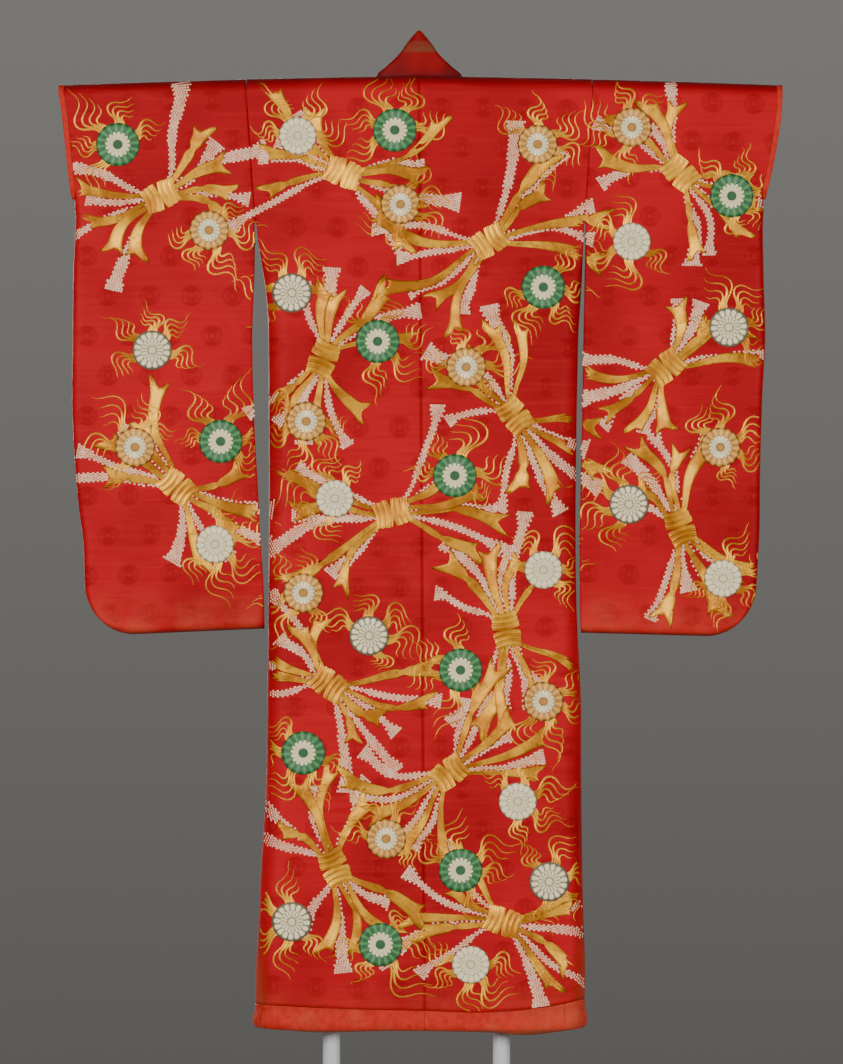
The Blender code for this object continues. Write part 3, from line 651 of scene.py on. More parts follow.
def overlap_surface(side):
    sign = SIDES[side]

    def surface(across_share, along_share):
        level = mix(HEM_LEVEL, OVERLAP_TOP, along_share)
        outer = FRONT_PANEL_INNER - SEAM_GAP / 2
        inner = collar_seam(level) + SEAM_GAP / 2
        across = mix(inner, outer, across_share)
        x = sign * across
        z = cloth_height(x, level)
        relief = crease_relief(BACK_CREASES, -x, z) + slack_relief(x, z, 1.0)
        seam_dip = dip(OVERLAP_DIP, outer - across, OVERLAP_DIP_WIDTH)
        y = front_depth(side, across, level) + relief - seam_dip
        return np.column_stack((x, y, z)), np.column_stack((x, -level))

    return surface


for side in SIDES:
    builder = panel_mesh(OVERLAP_COLUMNS, OVERLAP_ROWS, overlap_surface(side))
    piece = cloth_piece(f"robe_overlap_{side}", builder, CLOTH, side == "right", silk)
    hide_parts(f"overlap_{side}")

# The sleeves
# Each is one length of the red silk, folded at the shoulder, sewn along its bottom and up its outer edge to
# the wrist opening, with a rounded outer corner. The inner edge is open below the armhole.

CUFF_BOTTOM = 1.572
CUFF_OPENING_RUN = 0.050
CUFF_STRIP_WIDTH = 0.010
CUFF_STRIP_START = 0.026
SLEEVE_CORNER = 0.088
SLEEVE_EDGE_ROUNDING = 0.013
SLEEVE_BLEND = 0.110
SLEEVE_LOWEST = 0.830
SLEEVE_BOTTOM_REACH = 0.400
SLEEVE_BOTTOM_PLACES = (0.280, 0.580)
SLEEVE_FLAT_BELOW = 1.300
SHOULDER_ROW = 1.800
SLEEVE_LAYER_ROWS = 150
SLEEVE_COLUMNS = 48
SLEEVE_FLAT_SHARE = 0.90
SLEEVE_LENGTH = BAR_MIDDLE - SLEEVE_LOWEST
ARMHOLE_DIP = 0.0011
ARMHOLE_DIP_WIDTH = 0.003

SleeveRow = namedtuple("SleeveRow", "height outer inner half_depth")
SLEEVE_ROWS = {
    "left": (
        SleeveRow(1.800, 0.6340, 0.3058, FOLD_RADIUS),
        SleeveRow(1.755, 0.6280, 0.3030, 0.0215),
        SleeveRow(1.615, 0.6135, 0.2955, 0.0175),
        SleeveRow(1.565, 0.6045, 0.2915, 0.0165),
        SleeveRow(1.475, 0.6080, 0.2910, 0.0150),
        SleeveRow(1.350, 0.6095, 0.2950, 0.0140),
        SleeveRow(1.207, 0.6095, 0.2915, 0.0132),
        SleeveRow(1.066, 0.6000, 0.2840, 0.0130),
        SleeveRow(0.996, 0.5910, 0.2810, 0.0130),
        SleeveRow(0.915, 0.5880, 0.2755, 0.0130),
        SleeveRow(0.825, 0.5840, 0.2730, 0.0130),
    ),
    "right": (
        SleeveRow(1.800, 0.6340, 0.3013, FOLD_RADIUS),
        SleeveRow(1.755, 0.6320, 0.2995, 0.0215),
        SleeveRow(1.660, 0.6175, 0.2955, 0.0185),
        SleeveRow(1.578, 0.6015, 0.2905, 0.0165),
        SleeveRow(1.470, 0.6010, 0.2880, 0.0150),
        SleeveRow(1.350, 0.6040, 0.2855, 0.0140),
        SleeveRow(1.250, 0.5990, 0.2838, 0.0134),
        SleeveRow(1.111, 0.5950, 0.2812, 0.0130),
        SleeveRow(1.017, 0.5940, 0.2790, 0.0130),
        SleeveRow(0.915, 0.5885, 0.2790, 0.0130),
        SleeveRow(0.825, 0.5845, 0.2805, 0.0130),
    ),
}
SleeveBottom = namedtuple("SleeveBottom", "inner outer")
SLEEVE_BOTTOMS = {"left": SleeveBottom(0.842, 0.829), "right": SleeveBottom(0.835, 0.827)}
SLEEVE_CREASES = (
    Crease(0.400, 1.742, 0.090, 4, 0.007, -0.0012),
    Crease(0.540, 1.728, 0.060, -8, 0.007, -0.0012),
    Crease(0.345, 1.640, 0.080, 58, 0.011, -0.0018),
    Crease(0.560, 1.600, 0.070, -64, 0.010, 0.0014),
    Crease(0.450, 1.480, 0.070, 12, 0.009, -0.0010),
    Crease(0.340, 1.400, 0.100, 80, 0.012, -0.0016),
    Crease(0.530, 1.330, 0.060, -6, 0.008, -0.0011),
    Crease(0.400, 1.190, 0.065, 7, 0.009, 0.0010),
    Crease(0.555, 1.120, 0.070, 78, 0.010, -0.0014),
    Crease(0.360, 1.030, 0.060, -10, 0.008, -0.0010),
    Crease(0.500, 0.960, 0.075, 5, 0.007, -0.0012),
    Crease(0.350, 0.905, 0.060, 3, 0.005, -0.0012),
    Crease(0.470, 0.882, 0.085, -3, 0.005, -0.0013),
    Crease(0.390, 0.862, 0.070, 2, 0.004, -0.0012),
    Crease(0.540, 0.858, 0.035, 14, 0.004, -0.0011),
)


def rounding(distance):
    share = np.clip(distance / SLEEVE_EDGE_ROUNDING, 0.0, 1.0)
    return np.sqrt(1.0 - (1.0 - share) ** 2)


def cuff_open(height):
    return smooth((height - CUFF_BOTTOM) / CUFF_OPENING_RUN)


def sleeve_outer(side, height):
    """The red cloth's outer edge, inside the strip of lining that edges the wrist opening."""
    return read(SLEEVE_ROWS[side], "outer", height) - CUFF_STRIP_WIDTH * cuff_open(height)


def sleeve_inner(side, height):
    seam = read(BODY_ROWS, side, height) + SEAM_GAP
    return np.where(height > ARMHOLE_BOTTOM, seam, read(SLEEVE_ROWS[side], "inner", height))


def sleeve_depth(side, across, height):
    """A sleeve layer's distance from the middle: the body's at the armhole seam, flatter further out."""
    own = read(SLEEVE_ROWS[side], "half_depth", height)
    body = layer_depth(SIDES[side] * across, np.maximum(height, ARMHOLE_BOTTOM))
    held = smooth((height - SLEEVE_FLAT_BELOW) / (ARMHOLE_BOTTOM - SLEEVE_FLAT_BELOW))
    near = 1.0 - smooth((across - sleeve_inner(side, height)) / SLEEVE_BLEND)
    return mix(own, body, near * held)


def sleeve_surface(side):
    sign = SIDES[side]

    def surface(across_share, along_share):
        cloth = along_cloth(along_share, SLEEVE_LENGTH, SLEEVE_LAYER_ROWS, SLEEVE_LOWEST)
        layer, level, turn, on_fold, run = cloth
        row = np.where(on_fold, SHOULDER_ROW, level)
        inner = sleeve_inner(side, row)
        outer = sleeve_outer(side, row)
        edge = np.clip((across_share - SLEEVE_FLAT_SHARE) / (1.0 - SLEEVE_FLAT_SHARE), 0.0, 1.0) * math.pi / 2
        flat_outer = outer - SLEEVE_EDGE_ROUNDING
        across = mix(inner, flat_outer, np.clip(across_share / SLEEVE_FLAT_SHARE, 0.0, 1.0))
        across = across + SLEEVE_EDGE_ROUNDING * np.sin(edge)
        near, far = SLEEVE_BOTTOM_PLACES
        bottoms = SLEEVE_BOTTOMS[side]
        bottom = mix(bottoms.inner, bottoms.outer, (across - near) / (far - near))
        lowered = (bottom - SLEEVE_LOWEST) * (1.0 - smooth((level - SLEEVE_LOWEST) / SLEEVE_BOTTOM_REACH))
        z = cloth_height(sign * across, level) + lowered
        filled = rounding(level - SLEEVE_LOWEST)
        side_fill = mix(rounding(outer - across), 1.0, cuff_open(level))
        side_fill = np.where(across_share > 1.0 - 1e-6, cuff_open(level), side_fill)
        full = filled * side_fill
        grain = sign * across
        relief = crease_relief(SLEEVE_CREASES, across, z) + slack_relief(sign * across, z, layer)
        held = smooth((BAR_MIDDLE - level) / HELD_RUN) * full
        seam_dip = dip(ARMHOLE_DIP, across - inner, ARMHOLE_DIP_WIDTH) * (level > ARMHOLE_BOTTOM)
        y = layer * (sleeve_depth(side, across, level) * full + (relief - seam_dip) * held)
        beyond = np.clip((across - (outer - SLEEVE_CORNER)) / SLEEVE_CORNER, 0.0, 1.0)
        below = np.clip((bottom + SLEEVE_CORNER - z) / SLEEVE_CORNER, 0.0, 1.0)
        cornered = (beyond > 0) & (below > 0)
        beyond_round = beyond * np.sqrt(1.0 - below * below / 2.0)
        below_round = below * np.sqrt(1.0 - beyond * beyond / 2.0)
        across = np.where(cornered, outer - SLEEVE_CORNER * (1.0 - beyond_round), across)
        z = np.where(cornered, bottom + SLEEVE_CORNER * (1.0 - below_round), z)
        x = sign * across
        y = np.where(on_fold, FOLD_RADIUS * np.sin(turn), y)
        z = np.where(on_fold, bar_height(x) + FOLD_RADIUS * np.cos(turn), z)
        return np.column_stack((x, y, z)), np.column_stack((grain, run))

    return surface


for side in SIDES:
    builder = panel_mesh(SLEEVE_COLUMNS, 2 * SLEEVE_LAYER_ROWS + FOLD_ROWS, sleeve_surface(side))
    piece = cloth_piece(f"robe_sleeve_{side}", builder, CLOTH, side == "left", silk)
    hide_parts(f"sleeve_{side}_back", f"sleeve_{side}_front")

# The collar
# One long band of the red silk, doubled, that stands in a peak at the nape, folds forward over the shoulders
# and falls down both fronts. Its upper edge is soiled brown from wear.

COLLAR_CLOTH = 0.004
COLLAR_WIDTH = 0.080
COLLAR_LENGTH = 2.05
NapeRow = namedtuple("NapeRow", "base crease edge")
NAPE_ROWS = (
    NapeRow((0.0000, 0.0042, -0.0022), (0.0000, 0.0130, 0.0765), (0.0000, 0.0145, 0.0800)),
    NapeRow((0.0160, 0.0048, -0.0023), (0.0178, 0.0125, 0.0605), (0.0080, 0.0270, 0.0665)),
    NapeRow((0.0340, 0.0066, -0.0026), (0.0335, 0.0120, 0.0385), (0.0140, 0.0460, 0.0500)),
    NapeRow((0.0560, 0.0102, -0.0042), (0.0560, 0.0135, 0.0165), (0.0200, 0.0580, 0.0280)),
    NapeRow((0.0705, 0.0165, -0.0070), (0.0718, 0.0200, 0.0030), (0.0250, 0.0660, 0.0040)),
    NapeRow((0.0815, 0.0222, -0.0170), (0.0730, 0.0330, -0.0100), (0.0250, 0.0700, -0.0120)),
)
FallRow = namedtuple("FallRow", "drop middle_out edge_out edge_reach")
FALL_ROWS = (
    FallRow(0.0320, 0.018, 0.046, 0.060),
    FallRow(0.0550, 0.018, 0.040, 0.064),
    FallRow(0.0900, 0.013, 0.025, 0.072),
    FallRow(0.1400, 0.004, 0.008, 0.080),
)
COLLAR_HEIGHTS = (1.610, 1.560, 1.500, 1.400, 1.280, 1.160, 1.050, COLLAR_END_HEIGHT)
COLLAR_SECTION_STEPS = 8
COLLAR_COLUMNS = 12
COLLAR_WAVE = 0.0010
COLLAR_WAVE_RATE = 1.3


def collar_sections(side):
    """Half of the collar, from the nape to its lower end, each section from sewn edge to free edge."""
    sign = SIDES[side]
    sections = []
    for row in NAPE_ROWS:
        base, crease, edge = (
            Vector((sign * out + CENTRE_TOP, forward, SHOULDER_HEIGHT + up)) for out, forward, up in row
        )
        sections.append([base, (base + crease) / 2, crease, (crease + edge) / 2, edge])
    heights = [SHOULDER_HEIGHT - row.drop for row in FALL_ROWS] + list(COLLAR_HEIGHTS)
    for number, height in enumerate(heights):
        fall = FALL_ROWS[min(number, len(FALL_ROWS) - 1)]
        bulge = number < len(FALL_ROWS)
        seam = collar_seam(height) - SEAM_GAP / 2 - (COLLAR_CLOTH / 2 if bulge else 0.0)
        section = []
        for share in (0.0, 0.25, 0.5, 0.75, 1.0):
            across = seam - fall.edge_reach * share
            depth = front_depth(side, across, height) - COLLAR_CLOTH / 2
            if bulge:
                middle = fall.middle_out * min(share / 0.5, 1.0)
                depth += middle + (fall.edge_out - fall.middle_out) * max(share / 0.5 - 1.0, 0.0)
            x = sign * across
            section.append(Vector((x, float(depth), float(cloth_height(x, height)))))
        sections.append(section)
    return sections


def curve_through(points, places):
    """Points on a smooth line through an array of points, at places counted in whole points."""
    step = np.clip(places.astype(int), 0, len(points) - 2)
    share = (places - step)[:, None]
    before = points[np.maximum(step - 1, 0)]
    after = points[np.minimum(step + 2, len(points) - 1)]
    first, last = points[step], points[step + 1]
    lean = (last - before) / 2
    next_lean = (after - first) / 2
    rise = last - first
    bend = 3 * rise - 2 * lean - next_lean
    return first + share * (lean + share * (bend + share * (lean + next_lean - 2 * rise)))


def collar_surface(across_share, along_share):
    left = collar_sections("left")
    right = collar_sections("right")
    sections = np.array(left[:0:-1] + right)
    places = along_share * (len(sections) - 1)
    edges = np.array([curve_through(sections[:, column], places) for column in range(5)])
    column = np.clip((across_share * 4).astype(int), 0, 3)
    share = (across_share * 4 - column)[:, None]
    picked = np.arange(len(places))
    points = mix(edges[column, picked], edges[column + 1, picked], share)
    points[:, 1] += COLLAR_WAVE * np.sin(across_share * math.pi) * np.sin(places * COLLAR_WAVE_RATE)
    return points, np.column_stack((across_share * COLLAR_WIDTH, along_share * COLLAR_LENGTH))


def collar_silk_in_painted_shade():
    recipe = Recipe("collar_silk_in_painted_shade", {"Sheen Weight": 0.02, "Specular IOR Level": 0.12})
    spot = recipe.spot()
    _, _, height = recipe.parts(spot)
    wear = recipe.noise(spot, 38.0, 4.0, 0.6)
    broad = recipe.noise(spot, 9.0, 2.0)
    # Painted shade: the collar's red is set much darker than the panels' red silk, as if turned away from the
    # lights.
    tone = recipe.blend(broad.step(0.35, 0.65), (0.140, 0.0008, 0.0020), (0.260, 0.0020, 0.0040))
    soiled = height.step(1.850, 1.857) * height.step(1.874, 1.868) * wear.step(0.25, 0.55)
    tone = recipe.blend(soiled * 0.80, tone, (0.150, 0.0480, 0.0170))
    worn_edge = height.step(1.871, 1.887) * wear.step(0.40, 0.65)
    tone = recipe.blend(worn_edge * 0.45, tone, (0.330, 0.0300, 0.0140))
    shaded = height.step(1.822, 1.810) * height.step(1.784, 1.804)
    tone = recipe.blend(shaded * 0.55, tone, (0.120, 0.0040, 0.0060))
    slub = recipe.noise(spot, 240.0, 2.0)
    pucker = recipe.noise(spot, 60.0, 3.0)
    return recipe.finish(tone, 0.58, recipe.bump(slub * 0.0002 + pucker * 0.0012, 0.5))


COLLAR_SPANS = 2 * (len(NAPE_ROWS) + len(FALL_ROWS) + len(COLLAR_HEIGHTS) - 1)
builder = panel_mesh(COLLAR_COLUMNS, COLLAR_SPANS * COLLAR_SECTION_STEPS, collar_surface)
piece = cloth_piece("robe_collar", builder, COLLAR_CLOTH, True, collar_silk_in_painted_shade())
piece.modifiers["Thickness"].offset = 0
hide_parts("collar")

# The wrist edging
# The orange-red lining is turned out over wadding as a narrow strip round each wrist opening, and sewn along
# the red cloth's edge.

CUFF_CLOTH = 0.0045
CUFF_LAYER_ROWS = 60
CUFF_COLUMNS = 5
CUFF_SWELL = 0.0006
CUFF_PUCKER = 0.0004
CUFF_PUCKER_RATE = 820.0
CUFF_DRIFT_RATE = 190.0


def lining_silk():
    recipe = Recipe("lining_silk", {"Sheen Weight": 0.02, "Specular IOR Level": 0.09})
    spot = recipe.spot()
    sideways_place, _, height = recipe.parts(spot)
    wear = recipe.noise(spot, 26.0, 4.0, 0.6)
    fine = recipe.noise(spot, 95.0, 3.0)
    tone = recipe.blend(fine.step(0.3, 0.7), (0.440, 0.0160, 0.0100), (0.540, 0.0270, 0.0150))
    corner = sideways_place.step(0.10, 0.29) * height.step(0.30, 0.18)
    faded = wear.step(0.48, 0.72) * 0.30 + corner * 0.35
    tone = recipe.blend(faded, tone, (0.520, 0.1000, 0.0400))
    soiled = height.step(0.1435, 0.1390) * (wear * 0.7 + 0.3)
    tone = recipe.blend(soiled, tone, (0.130, 0.0480, 0.0200))
    shadow = abs(height - 0.1785).step(0.0060, 0.0030) * 0.12
    tone = recipe.blend(shadow, tone, (0.150, 0.0150, 0.0100))
    relief = fine * 0.0006 + recipe.noise(spot, 260.0, 2.0) * 0.0002
    return recipe.finish(tone, 0.58, recipe.bump(relief, 0.5))


lining = lining_silk()


def cuff_surface(side):
    sign = SIDES[side]
    lowest = CUFF_BOTTOM + CUFF_STRIP_START

    def surface(across_share, along_share):
        cloth = along_cloth(along_share, BAR_MIDDLE - lowest, CUFF_LAYER_ROWS, lowest)
        layer, level, turn, on_fold, run = cloth
        row = np.where(on_fold, SHOULDER_ROW, level)
        inner = sleeve_outer(side, row) + SEAM_GAP
        across = mix(inner, read(SLEEVE_ROWS[side], "outer", row), across_share)
        x = sign * across
        pucker = CUFF_PUCKER * np.sin(run * CUFF_PUCKER_RATE + 2.0 * np.sin(run * CUFF_DRIFT_RATE))
        swell = (CUFF_SWELL + pucker) * np.sin(across_share * math.pi)
        out = FOLD_RADIUS + swell
        y = layer * (sleeve_depth(side, across, level) * cuff_open(level) + swell)
        y = np.where(on_fold, out * np.sin(turn), y)
        z = np.where(on_fold, bar_height(x) + out * np.cos(turn), cloth_height(x, level))
        return np.column_stack((x, y, z)), np.column_stack((across, run))

    return surface


for side in SIDES:
    builder = panel_mesh(CUFF_COLUMNS, 2 * CUFF_LAYER_ROWS + FOLD_ROWS, cuff_surface(side))
    piece = cloth_piece(f"wrist_edging_{side}", builder, CUFF_CLOTH, side == "left", lining)
    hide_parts(f"cuff_lining_{side}")

# The padded hem
# The lining is rolled out below the red cloth over soft wadding and gathered a little as it is sewn, in
# lengths that match the panels above.

HEM_ROLL_OUT = 0.005
HEM_ROLL_IN = 0.013
ROLL_TOP_GAP = 0.0006
ROLL_TOP_OUT = -0.0015
ROLL_TOP_FULLNESS = 0.15
ROLL_WIDEST = 0.68
ROLL_PROFILE_POINTS = 30
ROLL_STEP = 0.0035
GATHER_SPACING = (0.006, 0.022)
GATHER_WIDTH = (0.0022, 0.0042)
GATHER_DEPTH = (0.0005, 0.0017)
ROLL_BOTTOM_ROWS = (
    HemRow(-0.300, 0.1440),
    HemRow(-0.232, 0.1400),
    HemRow(-0.176, 0.1365),
    HemRow(-0.043, 0.1388),
    HemRow(0.111, 0.1365),
    HemRow(0.188, 0.1320),
    HemRow(0.267, 0.1409),
    HemRow(0.300, 0.1440),
)


def roll_length(name, side, flat_run, turn_run, layer, seed):
    """One length of the roll: its path along the hem, its section, its gathers and its closed ends."""
    sign = SIDES[side]
    corner = float(read(BODY_ROWS, side, HEM_LEVEL)) - SIDE_ROUNDING
    stops = []
    if layer == "back":
        stops += [(across, 0.0) for across in np.arange(flat_run[0], flat_run[1], ROLL_STEP)]
    if turn_run:
        steps = max(int(abs(turn_run[1] - turn_run[0]) * SIDE_ROUNDING / ROLL_STEP), 2)
        stops += [(corner, turn) for turn in np.linspace(turn_run[0], turn_run[1], steps)]
    if layer == "front":
        count = int(abs(flat_run[1] - flat_run[0]) / ROLL_STEP)
        stops += [(across, math.pi) for across in np.linspace(flat_run[0], flat_run[1], count)]
    flat, turn = np.array(stops).T
    across = flat + SIDE_ROUNDING * np.sin(turn)
    x = sign * across
    back_y = -layer_depth(x, HEM_LEVEL) * np.cos(turn)
    y = np.where(np.cos(turn) > 0, back_y, -front_depth(side, across, HEM_LEVEL) * np.cos(turn))
    along = np.column_stack((np.gradient(x), np.gradient(y))) * sign
    along /= np.linalg.norm(along, axis=1)[:, None]
    top = read(CLOTH_EDGE_ROWS, "height", x, "place") - ROLL_TOP_GAP
    bottom = read(ROLL_BOTTOM_ROWS, "height", x, "place")
    draws = random.Random(seed)
    run = np.arange(len(x)) * ROLL_STEP
    gathers = np.zeros(len(x))
    place = 0.0
    while place < run[-1]:
        place += draws.uniform(*GATHER_SPACING)
        width = draws.uniform(*GATHER_WIDTH)
        gathers -= dip(draws.uniform(*GATHER_DEPTH), run - place, width)

    def surface(around, path_share):
        row = np.rint(path_share * (len(x) + 1)).astype(int) - 1
        ended = (row < 0) | (row >= len(x))
        row = np.clip(row, 0, len(x) - 1)
        angle = around * 2 * math.pi
        share = (1.0 - np.cos(angle)) / 2.0
        widest = smooth(share / ROLL_WIDEST)
        fullness = np.where(share < ROLL_WIDEST, mix(ROLL_TOP_FULLNESS, 1.0, widest), 1.0)
        round_off = np.clip((share - ROLL_WIDEST) / (1.0 - ROLL_WIDEST), 0.0, 1.0)
        fullness = fullness * np.sqrt(np.maximum(1.0 - round_off * round_off, 0.0))
        centre = mix(ROLL_TOP_OUT, (HEM_ROLL_OUT - HEM_ROLL_IN) / 2, smooth(share / 0.5))
        half = (HEM_ROLL_OUT + HEM_ROLL_IN) / 2 * fullness
        out = centre + half * np.sign(np.sin(angle)) * (np.abs(np.sin(angle)) > 1e-6)
        out = out + gathers[row] * np.sin(share * math.pi) * np.sign(np.sin(angle))
        out = np.where(ended, centre.mean(), out)
        share = np.where(ended, 0.5, share)
        px = x[row] + along[row, 1] * out
        py = y[row] - along[row, 0] * out
        pz = mix(top[row], bottom[row], share)
        return np.column_stack((px, py, pz)), np.column_stack((run[row], share))

    builder = panel_mesh(ROLL_PROFILE_POINTS, len(x) + 1, surface)
    bmesh.ops.remove_doubles(builder, verts=builder.verts, dist=SEWN_WITHIN)
    bmesh.ops.recalc_face_normals(builder, faces=builder.faces)
    return finished_piece(name, builder, lining)


for side, sign in SIDES.items():
    corner = float(read(BODY_ROWS, side, HEM_LEVEL)) - SIDE_ROUNDING
    seam_turn = math.radians(float(read(SEAM_ROWS, side, HEM_LEVEL)))
    turn_gap = SEAM_GAP / 2 / SIDE_ROUNDING
    centre = sign * centre_seam(HEM_LEVEL) + SEAM_GAP / 2
    inner = FRONT_PANEL_INNER + SEAM_GAP / 2
    runs = {
        "back": ((centre, corner), (0.0, seam_turn - turn_gap), "back"),
        "front": ((corner, inner), (seam_turn + turn_gap, math.pi), "front"),
        "overlap": ((inner - SEAM_GAP, FRONT_EDGE), None, "front"),
    }
    for number, (place, (flat_run, turn_run, layer)) in enumerate(runs.items()):
        name = f"hem_padding_{place}_{side}"
        piece = roll_length(name, side, flat_run, turn_run, layer, 10 * number + sign + 2)
        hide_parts(f"hem_roll_{place}_{side}")

# The embroidery
# Bundles of bound ribbons in couched gold thread and in small raised spots, and chrysanthemum rounds with
# curling vines, are worked on the red silk. The same plan, turned round, lies on the hidden fronts.

STITCH_THICKNESS = 0.0009
MOST_STEP = 0.008
LEAST_FACING = 0.3
RAY_LENGTH = 2.0
BATCH_VERTS = 3000
STITCH_MERGE = 0.00001

Bundle = namedtuple("Bundle", "x z heading reach seed")
BUNDLES = (
    Bundle(-0.135, 1.640, 158, 1.00, 1),
    Bundle(0.120, 1.520, 32, 1.10, 2),
    Bundle(-0.170, 1.315, 68, 0.95, 3),
    Bundle(0.165, 1.215, 128, 0.95, 4),
    Bundle(-0.050, 1.045, 14, 1.10, 5),
    Bundle(0.150, 0.840, 100, 0.95, 6),
    Bundle(-0.160, 0.745, 145, 0.90, 7),
    Bundle(0.050, 0.590, 38, 1.00, 8),
    Bundle(-0.150, 0.425, 112, 0.90, 9),
    Bundle(0.145, 0.330, 162, 0.90, 10),
    Bundle(-0.455, 1.600, 25, 0.95, 11),
    Bundle(-0.425, 1.090, 140, 0.95, 12),
    Bundle(0.455, 1.640, 135, 0.95, 13),
    Bundle(0.430, 1.300, 40, 0.90, 14),
    Bundle(0.455, 1.020, 110, 0.90, 15),
)
Round = namedtuple("Round", "x z kind heading")
ROUNDS = (
    Round(-0.215, 1.705, "white", 60),
    Round(-0.045, 1.715, "green", 110),
    Round(-0.035, 1.585, "gold", -40),
    Round(0.205, 1.690, "gold", 30),
    Round(0.215, 1.440, "green", -60),
    Round(-0.225, 1.430, "outlined", 120),
    Round(-0.075, 1.345, "green", 10),
    Round(-0.200, 1.205, "gold", -110),
    Round(0.080, 1.300, "gold", 60),
    Round(-0.150, 1.070, "white", 160),
    Round(0.060, 1.110, "green", 70),
    Round(-0.205, 0.905, "gold", 190),
    Round(0.215, 0.945, "white", 60),
    Round(0.070, 0.770, "green", 200),
    Round(-0.090, 0.830, "outlined", 40),
    Round(-0.205, 0.625, "green", -120),
    Round(0.215, 0.715, "gold", -20),
    Round(0.170, 0.540, "white", 20),
    Round(-0.060, 0.475, "gold", 60),
    Round(-0.225, 0.330, "outlined", 210),
    Round(0.070, 0.420, "green", 40),
    Round(0.225, 0.400, "outlined", 20),
    Round(-0.070, 0.290, "green", -60),
    Round(0.088, 0.255, "white", -100),
    Round(-0.530, 1.690, "green", 130),
    Round(-0.370, 1.540, "gold", -60),
    Round(-0.470, 1.330, "outlined", 90),
    Round(-0.350, 1.170, "green", 60),
    Round(-0.500, 1.160, "gold", 130),
    Round(-0.360, 0.990, "white", -30),
    Round(0.370, 1.720, "gold", 150),
    Round(0.545, 1.600, "green", 20),
    Round(0.370, 1.520, "white", 210),
    Round(0.540, 1.370, "outlined", 60),
    Round(0.525, 1.160, "gold", 30),
    Round(0.365, 1.060, "outlined", 150),
    Round(0.530, 0.930, "white", -40),
)
ROUND_RADII = {"green": 0.0385, "gold": 0.0350, "white": 0.0335, "outlined": 0.0350}


def surface_tree(meshes):
    """A tree of several meshes' faces to cast rays at, and the number of the mesh that each face is from."""
    points = []
    faces = []
    numbers = []
    for number, mesh in enumerate(meshes):
        first = len(points)
        points.extend(vert.co.copy() for vert in mesh.vertices)
        faces.extend([first + place for place in face.vertices] for face in mesh.polygons)
        numbers.extend([number] * len(mesh.polygons))
    return BVHTree.FromPolygons(points, faces), numbers


CLOTH_NAMES = [f"{part}_{side}" for part in ("body", "sleeve", "overlap") for side in SIDES] + ["collar"]
COLLAR_NUMBER = CLOTH_NAMES.index("collar")
SLEEVE_NUMBERS = (CLOTH_NAMES.index("sleeve_left"), CLOTH_NAMES.index("sleeve_right"))
cloth_tree, face_pieces = surface_tree(bpy.data.objects[f"robe_{name}"].data for name in CLOTH_NAMES)


def on_cloth(x, z, layer):
    """The point, outward direction and piece of the cloth at x and z, from behind (-1) or in front (1)."""
    start = Vector((x, layer, z))
    place, direction, face, _ = cloth_tree.ray_cast(start, Vector((0.0, -layer, 0.0)), RAY_LENGTH)
    if place is None or face_pieces[face] == COLLAR_NUMBER or direction.y * layer < LEAST_FACING:
        return None
    return place, direction, face_pieces[face]


class Stitching:
    """One kind of embroidery, gathered in batches into a single piece and laid on the cloth."""

    def __init__(self):
        self.whole = bmesh.new()
        self.whole.loops.layers.uv.new("stitch")
        self.start_batch()

    def start_batch(self):
        self.builder = bmesh.new()
        self.grain = self.builder.loops.layers.uv.new("stitch")

    def end_batch(self):
        mesh = bpy.data.meshes.new("batch")
        self.builder.to_mesh(mesh)
        self.builder.free()
        self.whole.from_mesh(mesh)
        bpy.data.meshes.remove(mesh)

    def patch(self, columns, rows, shape, layer):
        """Lays a grid on the cloth: shape gives x, z, lift and two texture numbers for its shares.

        Faces that miss the cloth, bridge the gap beside a sleeve or drop to another layer are cut away.
        """
        if layer > 0:
            rows = rows * 2 // 3
        grid = bmesh.ops.create_grid(self.builder, x_segments=columns, y_segments=rows, size=0.5)
        verts = grid["verts"]
        shares = np.array([vert.co[:2] for vert in verts]) + 0.5
        flat = np.column_stack(np.broadcast_arrays(*shape(shares[:, 0], shares[:, 1])))
        hits = {}
        faces = set()
        for vert, (x, z, lift, across, along) in zip(verts, flat):
            faces.update(vert.link_faces)
            hit = on_cloth(x * -layer, z, layer)
            if hit:
                vert.co = hit[0] + hit[1] * lift
                hits[vert] = (hit, (across, along))
        lost = []
        for face in faces:
            if any(vert not in hits for vert in face.verts):
                lost.append(face)
                continue
            depths = [hits[vert][0][0].y for vert in face.verts]
            pieces = {hits[vert][0][2] for vert in face.verts}
            low = min(vert.co.z for vert in face.verts)
            open_gap = low < ARMHOLE_BOTTOM and len({piece in SLEEVE_NUMBERS for piece in pieces}) > 1
            if max(depths) - min(depths) > MOST_STEP or open_gap:
                lost.append(face)
                continue
            face.normal_update()
            if face.normal.dot(hits[face.verts[0]][0][1]) < 0:
                face.normal_flip()
            for loop in face.loops:
                loop[self.grain].uv = hits[loop.vert][1]
        bmesh.ops.delete(self.builder, geom=lost, context="FACES")
        loose = [vert for vert in verts if vert.is_valid and not vert.link_faces]
        bmesh.ops.delete(self.builder, geom=loose, context="VERTS")
        if len(self.builder.verts) > BATCH_VERTS:
            self.end_batch()
            self.start_batch()

    def piece(self, name, material, slot, thickness=0.0):
        self.end_batch()
        bmesh.ops.remove_doubles(self.whole, verts=self.whole.verts, dist=STITCH_MERGE)
        return finished_piece(name, self.whole, material, thickness)


TRACE_POINTS = 90


